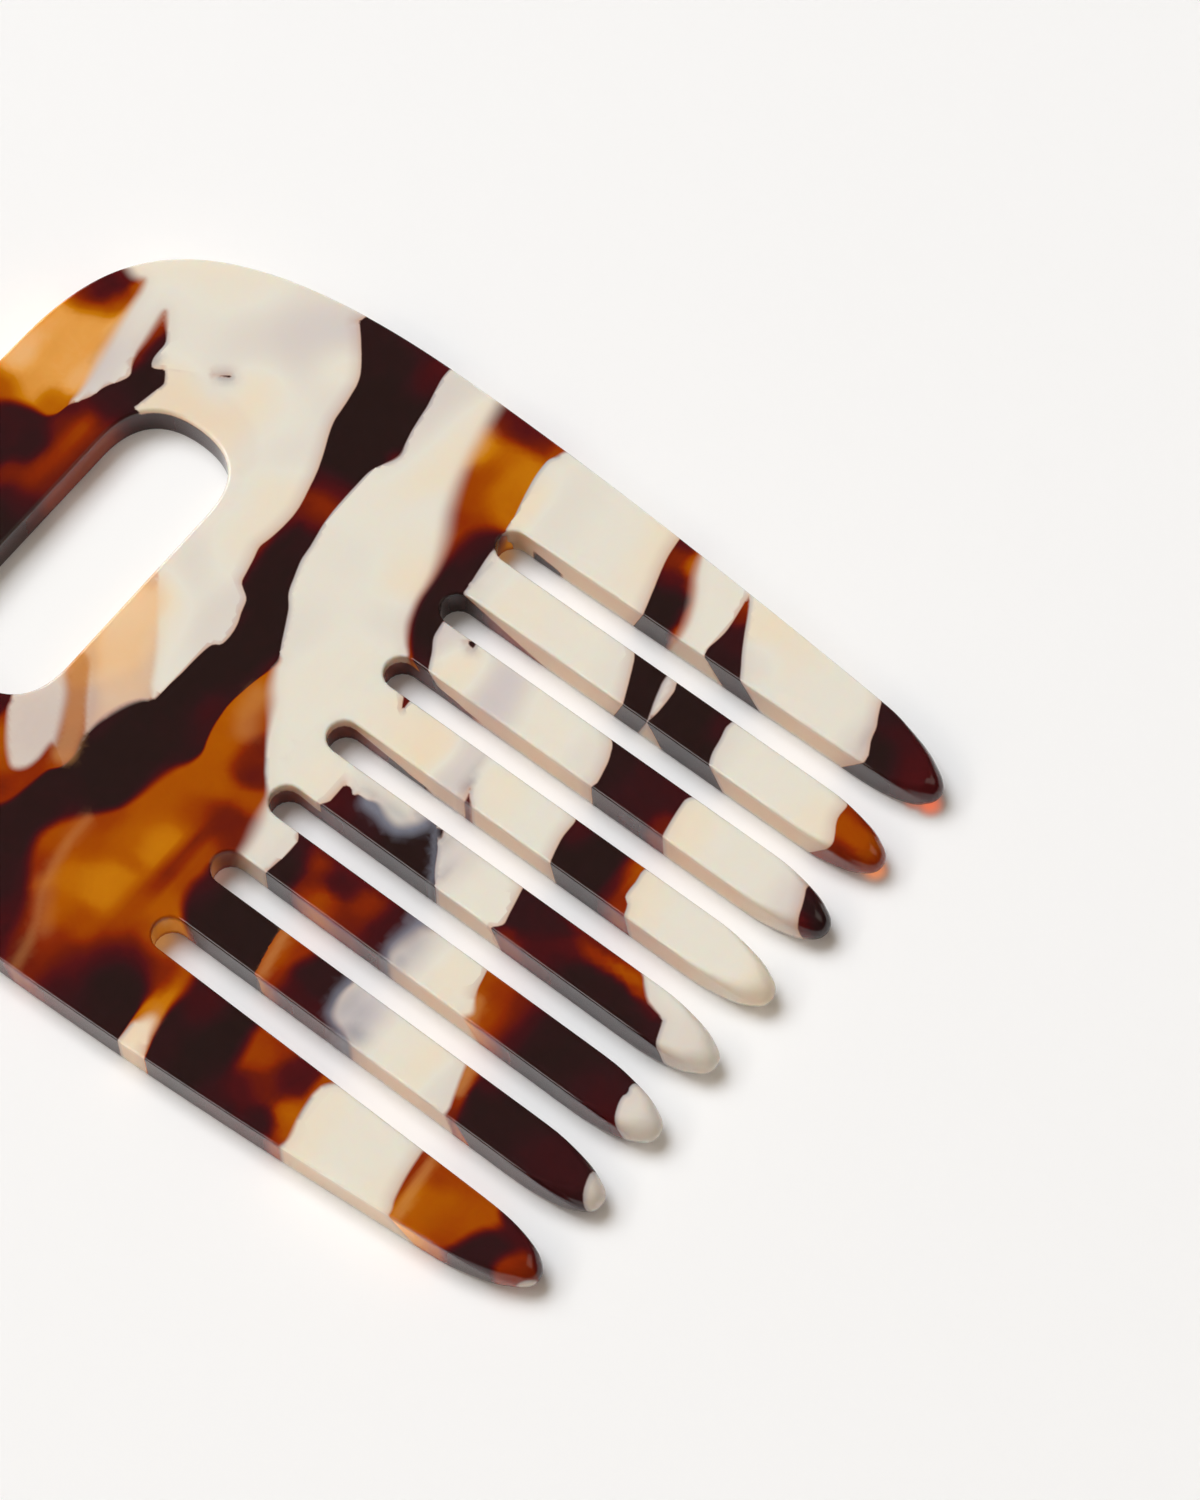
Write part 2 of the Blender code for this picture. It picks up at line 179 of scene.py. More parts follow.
# The seventh tooth's patches share their front side and, further on, their tip side
SEVENTH_FRONT = (
    (2.75, 2.98), (2.58, 2.83, 0.02), (2.47, 2.765, 0.03), (2.36, 2.715, 0.05), (2.24, 2.685, 0.06),
    (2.16, 2.62, 0.06), (2.105, 2.48, 0.05), (2.09, 2.35, 0.04), (2.11, 2.2, 0.03), (2.14, 2.02),
)
SEVENTH_TIP = (
    (5.64, 2.98), (5.595, 2.8), (5.55, 2.65), (5.51, 2.52), (5.465, 2.38), (5.435, 2.25), (5.42, 2.02),
)
PATCHES = (
    # The long dark band behind the teeth
    Patch(D, (
        (-2.96, -4.6), (-2.96, -4.6), (-3.03, -4.19), (-3.03, -4.19), (-2.87, -4.02), (-2.66, -3.77),
        (-2.55, -3.59), (-2.5, -3.4), (-2.465, -3.2), (-2.44, -3.02), (-2.375, -2.84), (-2.28, -2.64),
        (-2.18, -2.4), (-2.12, -2.2), (-2.06, -1.98), (-2.03, -1.8), (-2.03, -1.6), (-2.05, -1.4),
        (-2.075, -1.24), (-2.03, -1.08), (-1.99, -0.92), (-1.95, -0.78), (-1.88, -0.72), (-1.77, -0.64),
        (-1.71, -0.48), (-1.65, -0.34), (-1.62, -0.18), (-1.63, -0.04), (-1.7, 0.02), (-1.73, 0.12),
        (-1.745, 0.32), (-1.75, 0.5), (-1.77, 0.72), (-1.79, 0.93, 0.02), (-1.9, 1.05, 0.04),
        (-1.99, 1.2, 0.05), (-2.06, 1.4, 0.05), (-2.1, 1.6, 0.04), (-2.1, 1.78, 0.04), (-2.03, 2.0, 0.03),
        (-2.05, 2.2, 0.02), (-2.14, 2.34, 0.03), (-2.18, 2.6, 0.04), (-2.24, 2.9, 0.05),
        (-2.45, 3.2, 0.06), (-2.7, 3.55, 0.06), (-2.8, 4.0, 0.06), (-2.6, 4.7), (-1.1, 4.7, 0.1),
        (-1.16, 4.2, 0.1), (-1.22, 3.9, 0.1), (-1.3, 3.68, 0.09), (-1.46, 3.46, 0.1), (-1.64, 3.22, 0.11),
        (-1.73, 2.98, 0.11), (-1.66, 2.74, 0.1), (-1.5, 2.52, 0.09), (-1.36, 2.34, 0.08),
        (-1.24, 2.18, 0.07), (-1.17, 1.95, 0.08), (-1.13, 1.7, 0.08), (-1.07, 1.45, 0.08),
        (-0.98, 1.27, 0.06), (-0.95, 1.12, 0.03), (-1.0, 0.97, 0.02), (-1.05, 0.8, 0.02),
        (-1.08, 0.6, 0.015), (-1.09, 0.45, 0.015), (-1.07, 0.25), (-1.04, 0.05), (-1.01, -0.1, 0.02),
        (-0.99, -0.24, 0.02), (-1.03, -0.33), (-1.12, -0.48), (-1.23, -0.68), (-1.33, -0.85),
        (-1.45, -1.0), (-1.53, -1.2), (-1.6, -1.4), (-1.63, -1.6), (-1.66, -1.75), (-1.69, -1.9),
        (-1.71, -2.1), (-1.715, -2.3), (-1.715, -2.5), (-1.705, -2.75), (-1.65, -2.9),
        (-1.585, -3.04, 0.02), (-1.57, -3.15, 0.02), (-1.62, -3.3), (-1.67, -3.5), (-1.72, -3.8),
        (-1.77, -4.0), (-1.82, -4.25), (-1.8, -4.6), (-1.8, -4.6),
    ), lean=(0.1, 0.0)),
    # The amber mass that runs from the band to the last two teeth
    Patch(A, (
        (-1.02, -0.3, 0.04), (-0.97, -0.18, 0.07), (-0.86, 0.02, 0.1), (-0.74, 0.16, 0.11),
        (-0.61, 0.35, 0.07), (-0.49, 0.54, 0.04), (-0.36, 0.72, 0.03), (-0.24, 0.88, 0.025),
        (-0.12, 0.99, 0.04), (-0.02, 1.1, 0.07), (0.04, 1.26, 0.11), (0.1, 1.45, 0.13),
        (0.15, 1.65, 0.11), (0.19, 1.85, 0.08), (0.35, 2.1), (0.5, 2.5), (0.6, 3.05), (0.6, 4.6),
        (-1.2, 4.7, 0.05), (-2.3, 3.6), (-2.05, 2.4), (-1.6, 1.0), (-1.3, 0.0),
    ), lean=(-0.1, 0.0)),
    Patch(D, (
        (-0.6, 4.7, 0.12), (-0.55, 4.3, 0.16), (-0.5, 3.9, 0.2), (-0.38, 3.58, 0.2), (-0.2, 3.38, 0.18),
        (0.05, 3.3, 0.16), (0.26, 3.42, 0.15), (0.4, 3.64, 0.12), (0.46, 3.82, 0.05), (0.49, 4.0, 0.02),
        (0.52, 4.25), (0.55, 4.7),
    )),
    # The amber and dark flow from the side to the roots of the second and third slots
    Patch(A, (
        (-1.12, -4.6, 0.12), (-1.08, -4.32, 0.13), (-1.04, -4.1, 0.13), (-1.0, -3.88, 0.12),
        (-0.94, -3.62, 0.12), (-0.87, -3.4, 0.13), (-0.78, -3.15, 0.14), (-0.67, -2.9, 0.15),
        (-0.54, -2.68, 0.15), (-0.44, -2.48, 0.13), (-0.35, -2.25, 0.1), (-0.3, -2.05, 0.08),
        (-0.27, -1.85, 0.07), (-0.23, -1.7, 0.07), (-0.15, -1.5, 0.07), (-0.02, -1.32, 0.05),
        (0.1, -1.2, 0.03), (0.16, -1.0, 0.02), (0.4, -1.1), *FLOW_EDGE, (-0.01, -3.0), (-0.03, -3.2),
        (-0.07, -3.36), (-0.11, -3.5), (-0.16, -3.7), (-0.19, -3.85), (-0.205, -4.0), (-0.2, -4.12),
        (-0.14, -4.25, 0.03), (-0.1, -4.6, 0.04),
    ), lean=(0.08, 0.0)),
    Patch(D, (
        (0.04, -3.06, 0.08), (-0.12, -3.02, 0.12), (-0.27, -2.88, 0.13), (-0.32, -2.64, 0.12),
        (-0.29, -2.4, 0.09), (-0.25, -2.15, 0.06), (-0.22, -1.92, 0.05), (-0.16, -1.68, 0.05),
        (-0.06, -1.48, 0.05), (0.07, -1.32, 0.04), (0.17, -1.2, 0.02), (0.2, -1.0), (0.42, -1.05),
        *FLOW_EDGE, (0.05, -2.95, 0.04),
    ), lean=(0.25, 0.0)),
    # Dark patches that begin below the top, so only the walls of the slots and of the hand hole show them,
    # darker towards the walls' feet
    Patch(D, (
        (-0.12, -1.25, 0.02), (-0.12, 0.95, 0.02), (0.1, 1.45, 0.02), (0.6, 1.2), (1.3, 0.95),
        (1.7, 0.85), (2.2, 0.95), (2.6, 0.8), (2.5, 0.6), (1.7, 0.4), (0.55, 0.4), (0.42, -0.1),
        (1.2, -0.2), (1.55, -0.25), (1.55, -0.6), (0.6, -0.6), (0.45, -1.1), (1.55, -1.25), (1.5, -1.4),
        (0.3, -1.5), (0.1, -1.3),
    ), below=0.3, sinks=0.42),
    Patch(D, (
        (-0.05, -2.25, 0.03), (0.6, -2.3, 0.03), (1.15, -2.25, 0.04), (1.35, -2.1, 0.04),
        (1.2, -1.95, 0.03), (-0.05, -1.95, 0.03),
    ), below=0.04, sinks=0.72),
    Patch(D, (
        (0.3, -3.3, 0.03), (0.55, -3.3, 0.03), (0.8, -3.1, 0.03), (0.65, -3.0, 0.03), (0.36, -3.0, 0.03),
    ), below=0.42, sinks=0.45),
    Patch(D, (
        (-4.3, -2.3, 0.02), (-3.6, -2.4, 0.02), (-3.05, -2.2, 0.02), (-3.0, -1.8, 0.02),
        (-4.3, -1.5, 0.02),
    ), below=0.14),
    # The honey patch on the back edge and the dark flow beside the hand hole
    Patch(A, (
        (-6.2, -3.26, 0.08), (-5.8, -3.12, 0.09), (-5.62, -3.1, 0.1), (-5.48, -3.06, 0.1),
        (-5.4, -3.07, 0.08), (-5.33, -3.1, 0.07), (-5.28, -3.0, 0.07), (-5.25, -2.88, 0.07),
        (-5.22, -2.7, 0.07), (-5.18, -2.5, 0.08), (-5.14, -2.3, 0.09), (-5.1, -2.1, 0.1),
        (-5.05, -1.9, 0.09), (-5.0, -1.7, 0.07), (-4.96, -1.5, 0.05), (-4.93, -1.3, 0.03), (-4.7, -1.0),
        (-4.8, -0.2), (-5.2, 0.6, 0.08), (-5.7, 1.3, 0.08), (-6.2, 1.6, 0.08),
    ), lean=(0.0, 0.15)),
    Patch(D, (
        (-5.0, -1.1, 0.03), (-5.08, -1.03, 0.05), (-5.3, -1.0, 0.08), (-5.5, -0.92, 0.1),
        (-5.66, -0.72, 0.12), (-5.62, -0.45, 0.12), (-5.4, -0.25, 0.12), (-5.15, -0.12, 0.1),
        (-5.0, 0.02, 0.08), (-4.92, 0.3, 0.06), (-5.0, 0.7, 0.06), (-5.1, 1.2, 0.05), (-4.95, 1.7, 0.03),
        (-4.7, 2.1, 0.02), (-4.45, 2.2, 0.02), (-4.2, 1.6), (-4.05, -1.6), (-4.1, -1.74), (-4.1, -1.74),
        (-4.325, -1.735), (-4.33, -1.8), (-4.3, -2.0), (-4.27, -2.17), (-4.305, -2.24), (-4.38, -2.33),
        (-4.43, -2.3), (-4.52, -2.265), (-4.575, -2.35), (-4.59, -2.45), (-4.6, -2.6),
        (-4.69, -2.73, 0.03), (-4.79, -2.84, 0.06), (-4.88, -2.92, 0.07), (-4.85, -2.72, 0.07),
        (-4.81, -2.5, 0.06), (-4.78, -2.3, 0.04), (-4.72, -2.15, 0.02), (-4.65, -2.03), (-4.69, -1.9),
        (-4.75, -1.8), (-4.79, -1.7), (-4.82, -1.55), (-4.9, -1.4), (-4.95, -1.3), (-4.97, -1.18),
    ), lean=(0.05, 0.0)),
    # A needle of dark acetate beside the hand hole
    Patch(D, (
        (-3.875, -2.62), (-3.84, -2.625), (-3.79, -2.66), (-3.735, -2.7), (-3.715, -2.725),
        (-3.73, -2.74), (-3.755, -2.725), (-3.8, -2.69), (-3.845, -2.65),
    )),
    # Beside the hand hole's front end
    Patch(A, (
        (-3.0, -0.4, 0.02), (-2.8, -0.31, 0.03), (-2.65, -0.12, 0.05), (-2.5, 0.08, 0.07),
        (-2.3, 0.33, 0.09), (-2.1, 0.62, 0.11), (-1.96, 0.84, 0.1), (-1.84, 0.97, 0.08), (-1.9, 1.3, 0.1),
        (-1.98, 1.8, 0.1), (-2.2, 1.95, 0.1), (-2.5, 1.5, 0.12), (-2.8, 1.15, 0.08), (-3.0, 1.05, 0.04),
    ), strength=0.45),
    Patch(A, (
        (-3.2, 1.72, 0.04), (-2.96, 1.3, 0.06), (-2.76, 1.28, 0.08), (-2.5, 1.62, 0.08),
        (-2.3, 2.0, 0.08), (-2.25, 2.45, 0.06), (-2.45, 2.6, 0.05), (-2.62, 2.4, 0.05),
        (-3.0, 2.05, 0.04),
    ), strength=0.22),
    Patch(A, (
        (-2.84, 0.98, 0.08), (-2.66, 1.0, 0.08), (-2.5, 1.2, 0.07), (-2.34, 1.42, 0.07),
        (-2.18, 1.62, 0.06), (-2.06, 1.8, 0.04), (-1.98, 2.05, 0.04), (-2.08, 2.36, 0.04),
        (-2.22, 2.24, 0.07), (-2.32, 2.0, 0.08), (-2.44, 1.76, 0.09), (-2.6, 1.5, 0.1), (-2.8, 1.28, 0.1),
    ), strength=0.85),
    Patch(A, (
        (-3.16, 1.8, 0.02), (-3.05, 1.87, 0.02), (-2.98, 2.02, 0.04), (-2.86, 2.18, 0.05),
        (-2.72, 2.34, 0.06), (-2.58, 2.47, 0.06), (-2.47, 2.53, 0.06), (-2.37, 2.45, 0.06),
        (-2.33, 2.28, 0.05), (-2.34, 2.05, 0.06), (-2.2, 2.05, 0.06), (-2.0, 2.3), (-2.1, 2.8),
        (-2.4, 3.6), (-2.8, 4.1, 0.06), (-3.3, 3.9, 0.08), (-3.6, 3.2, 0.08), (-3.5, 2.4, 0.05),
    )),
    Patch(D, (
        (-3.14, 1.78, 0.02), (-3.04, 1.92, 0.03), (-3.0, 2.06, 0.05), (-3.04, 2.3, 0.07),
        (-3.2, 2.6, 0.08), (-3.45, 2.6, 0.06), (-3.6, 2.2, 0.04), (-3.4, 1.85),
    )),
    # First tooth
    Patch(D, (
        (1.56, -4.5), (1.57, -4.35), (1.595, -4.12), (1.62, -3.95), (1.675, -3.75), (1.74, -3.55),
        (1.8, -3.36), (1.85, -3.2), (1.9, -3.05), (2.32, -3.05, 0.06), (2.33, -3.22, 0.07),
        (2.29, -3.42, 0.09), (2.21, -3.62, 0.1), (2.11, -3.8, 0.1), (2.01, -3.95, 0.09),
        (1.94, -4.1, 0.08), (1.9, -4.24, 0.06), (1.94, -4.5, 0.04),
    ), lean=(-0.14, 0.0)),
    Patch(D, (
        (2.635, -4.14, 0.015), (2.66, -3.95), (2.69, -3.75), (2.7, -3.6), (2.685, -3.45), (2.67, -3.35),
        (2.69, -3.2), (2.69, -3.05), (3.28, -3.05), (3.21, -3.2), (3.12, -3.35), (3.0, -3.53),
        (2.87, -3.75), (2.76, -3.95, 0.015),
    ), lean=(0.3, 0.0)),
    Patch(D, (
        (4.55, -4.2), (4.59, -4.0), (4.63, -3.9), (4.68, -3.8), (4.735, -3.7), (4.765, -3.58),
        (4.81, -3.48), (4.86, -3.4), (4.88, -3.28), (4.89, -3.1), (6.1, -3.1), (6.1, -4.2),
    ), lean=(-0.28, 0.0)),
    # Second tooth
    Patch(D, (
        (2.03, -2.9), (2.12, -2.7), (2.2, -2.53), (2.275, -2.37), (2.35, -2.2), (2.4, -2.05),
        (2.75, -2.05), (2.7, -2.18), (2.655, -2.3, 0.014), (2.59, -2.48, 0.014), (2.53, -2.68, 0.014),
        (2.46, -2.9, 0.014),
    ), lean=(-0.13, 0.0)),
    Patch(D, (
        (2.68, -2.9), (2.7, -2.68), (2.712, -2.5), (2.712, -2.35), (2.69, -2.18), (2.68, -2.05),
        (3.6, -2.05), (3.55, -2.2), (3.49, -2.35), (3.46, -2.52), (3.42, -2.68), (3.37, -2.9),
    ), lean=(0.22, 0.0)),
    Patch(A, (
        (5.01, -2.95), (5.05, -2.75), (5.048, -2.6), (5.08, -2.5), (5.14, -2.4), (5.19, -2.3),
        (5.21, -2.2), (5.22, -2.0), (6.1, -2.0), (6.1, -2.95),
    ), lean=(-0.28, 0.0)),
    # Third tooth
    Patch(D, ((0.505, -1.75), (0.575, -1.815), (0.61, -1.8), (0.605, -1.71), (0.56, -1.73))),
    Patch(D, (
        (2.52, -1.9), (2.58, -1.72), (2.65, -1.56), (2.69, -1.4), (2.715, -1.28), (2.74, -1.05),
        (3.7, -1.05), (3.67, -1.22), (3.64, -1.38), (3.615, -1.55), (3.6, -1.7), (3.58, -1.9),
    ), lean=(0.02, 0.0)),
    Patch(D, (
        (5.26, -1.95), (5.275, -1.72), (5.33, -1.6), (5.375, -1.5), (5.41, -1.4), (5.44, -1.3),
        (5.46, -1.1), (6.1, -1.1), (6.1, -1.95),
    ), lean=(0.18, 0.0)),
    # Fourth tooth
    Patch(D, ((0.32, -0.9), (0.46, -0.9), (0.465, -0.74), (0.475, -0.635), (0.42, -0.71), (0.37, -0.79))),
    Patch(D, (
        (1.66, -0.36, 0.02), (1.705, -0.285, 0.015), (1.8, -0.2, 0.02), (1.8, -0.1, 0.02),
        (1.68, -0.12, 0.02), (1.705, -0.22, 0.015),
    )),
    Patch(D, (
        (2.8, -0.95), (2.815, -0.75), (2.818, -0.55), (2.85, -0.38), (2.9, -0.2), (2.92, -0.05),
        (3.95, -0.05), (3.92, -0.2), (3.89, -0.29), (3.86, -0.345), (3.8, -0.385), (3.78, -0.48),
        (3.778, -0.6), (3.755, -0.75), (3.75, -0.95),
    ), lean=(0.08, 0.0)),
    # Fifth tooth
    Patch(D, (
        (0.54, 0.95), (0.54, 0.7), (0.54, 0.455), (0.54, 0.455), (0.62, 0.435), (0.68, 0.485),
        (0.71, 0.49), (0.73, 0.45), (0.85, 0.44, 0.02), (0.92, 0.41, 0.03), (0.98, 0.4, 0.04),
        (1.08, 0.43, 0.06), (1.2, 0.465, 0.07), (1.31, 0.46, 0.08), (1.41, 0.38, 0.08),
        (1.48, 0.26, 0.07), (1.52, 0.05, 0.05), (1.62, 0.05), (1.64, 0.2), (1.75, 0.32), (1.85, 0.45),
        (1.94, 0.6), (2.03, 0.72), (2.12, 0.82), (2.2, 0.95),
    )),
    Patch(D, (
        (1.64, 0.05), (1.67, 0.2), (1.73, 0.29, 0.015), (1.78, 0.33, 0.02), (1.77, 0.25, 0.02),
        (1.72, 0.18), (1.7, 0.05),
    )),
    Patch(D, (
        (2.83, 0.05), (2.85, 0.2), (2.885, 0.35), (2.93, 0.55), (2.96, 0.68), (2.99, 0.95), (5.18, 0.95),
        (5.12, 0.8), (5.06, 0.65), (5.005, 0.5), (5.005, 0.5), (4.9, 0.47, 0.02), (4.8, 0.45, 0.03),
        (4.7, 0.4, 0.03), (4.61, 0.32, 0.025), (4.53, 0.235, 0.02), (4.46, 0.19, 0.02), (4.4, 0.05, 0.02),
    ), lean=(0.15, 0.0)),
    # Sixth tooth
    Patch(D, (
        (0.565, 1.05), (0.57, 1.3), (0.57, 1.5), (0.55, 1.65), (0.53, 1.8), (0.52, 1.95),
        (2.4, 1.95, 0.04), (2.27, 1.8, 0.05), (2.215, 1.7, 0.07), (2.22, 1.58, 0.1), (2.25, 1.45, 0.11),
        (2.28, 1.3, 0.1), (2.29, 1.05, 0.08),
    )),
    Patch(A, (
        (3.12, 1.05), (3.15, 1.2), (3.185, 1.35), (3.21, 1.45, 0.015), (3.27, 1.58, 0.03),
        (3.34, 1.7, 0.05), (3.42, 1.95, 0.05), (5.36, 1.95), (5.32, 1.8), (5.265, 1.67), (5.215, 1.54),
        (5.205, 1.45), (5.225, 1.4), (5.2, 1.34), (5.205, 1.2), (5.22, 1.05),
    ), lean=(0.2, 0.0)),
    # Seventh tooth
    Patch(D, (
        (0.1, 2.02, 0.06), (0.02, 2.25, 0.09), (0.0, 2.42, 0.1), (0.05, 2.6, 0.1), (0.16, 2.74, 0.08),
        (0.3, 2.84, 0.06), (0.4, 2.98, 0.04), (1.28, 2.98), (1.2, 2.78), (1.15, 2.6), (1.11, 2.42),
        (1.085, 2.25), (1.07, 2.02),
    ), lean=(0.1, 0.0)),
    Patch(A, (
        (1.0, 2.02), (1.0, 2.98), *SEVENTH_FRONT,
    )),
    Patch(D, (
        (1.64, 2.02, 0.1), (1.58, 2.25, 0.11), (1.5, 2.45, 0.11), (1.52, 2.65, 0.1), (1.62, 2.98, 0.08),
        *SEVENTH_FRONT,
    )),
    Patch(A, (
        (3.6, 2.02, 0.03), (3.66, 2.22, 0.03), (3.71, 2.38, 0.03), (3.77, 2.55, 0.03), (3.84, 2.74, 0.03),
        (3.92, 2.98, 0.03), *SEVENTH_TIP,
    ), lean=(0.12, 0.0)),
    Patch(D, (
        (3.86, 2.02, 0.07), (3.87, 2.25, 0.06), (3.89, 2.42, 0.05), (3.92, 2.58, 0.05),
        (3.98, 2.78, 0.04), (4.05, 2.98, 0.04), *SEVENTH_TIP,
    ), lean=(0.2, 0.0)),
    # Eighth tooth
    Patch(A, (
        (0.3, 3.0), (0.3, 4.6), (2.66, 4.6, 0.03), (2.67, 4.22, 0.03), (2.7, 4.08, 0.03),
        (2.68, 3.95, 0.04), (2.63, 3.8, 0.03), (2.6, 3.65, 0.025), (2.585, 3.5, 0.03), (2.6, 3.35, 0.03),
        (2.63, 3.0, 0.02),
    )),
    Patch(D, (
        (0.74, 3.0, 0.12), (0.73, 3.3, 0.11), (0.74, 3.55, 0.08), (0.76, 3.78, 0.05), (0.81, 4.0, 0.03),
        (0.87, 4.18, 0.015), (0.915, 4.35), (0.92, 4.6), (2.2, 4.6, 0.1), (2.05, 4.2, 0.12),
        (1.8, 4.05, 0.12), (1.72, 3.85, 0.12), (1.66, 3.6, 0.12), (1.6, 3.35, 0.11), (1.52, 3.0, 0.09),
    )),
    Patch(C, (
        (0.525, 4.05, 0.03), (0.57, 3.98, 0.06), (0.63, 3.88, 0.1), (0.7, 3.88, 0.09), (0.78, 4.06, 0.05),
        (0.87, 4.24, 0.015), (0.905, 4.36), (0.92, 4.7), (0.56, 4.7), (0.535, 4.35), (0.525, 4.15, 0.015),
    )),
    Patch(A, (
        (3.88, 3.0, 0.02), (3.91, 3.25, 0.02), (3.935, 3.48, 0.02), (3.97, 3.68, 0.02),
        (4.02, 3.88, 0.02), (4.08, 4.02, 0.02), (4.16, 4.4, 0.02), (6.1, 4.4), (6.1, 3.0),
    ), lean=(0.35, 0.0)),
    Patch(D, (
        (4.98, 3.2, 0.06), (5.1, 3.42, 0.08), (4.98, 3.58, 0.1), (4.9, 3.75, 0.09), (4.84, 3.95, 0.08),
        (4.7, 4.2, 0.07), (5.45, 4.3, 0.05), (5.36, 3.95, 0.07), (5.3, 3.78, 0.08), (5.36, 3.58, 0.09),
        (5.52, 3.46, 0.07), (5.7, 3.55, 0.05), (5.9, 3.6, 0.03), (5.8, 3.2, 0.03),
    )),
    Patch(C, (
        (5.79, 3.56), (5.7, 3.64), (5.61, 3.74), (5.54, 3.84), (5.49, 3.93), (5.45, 4.02), (5.4, 4.4),
        (6.1, 4.4), (6.1, 3.4),
    )),
)

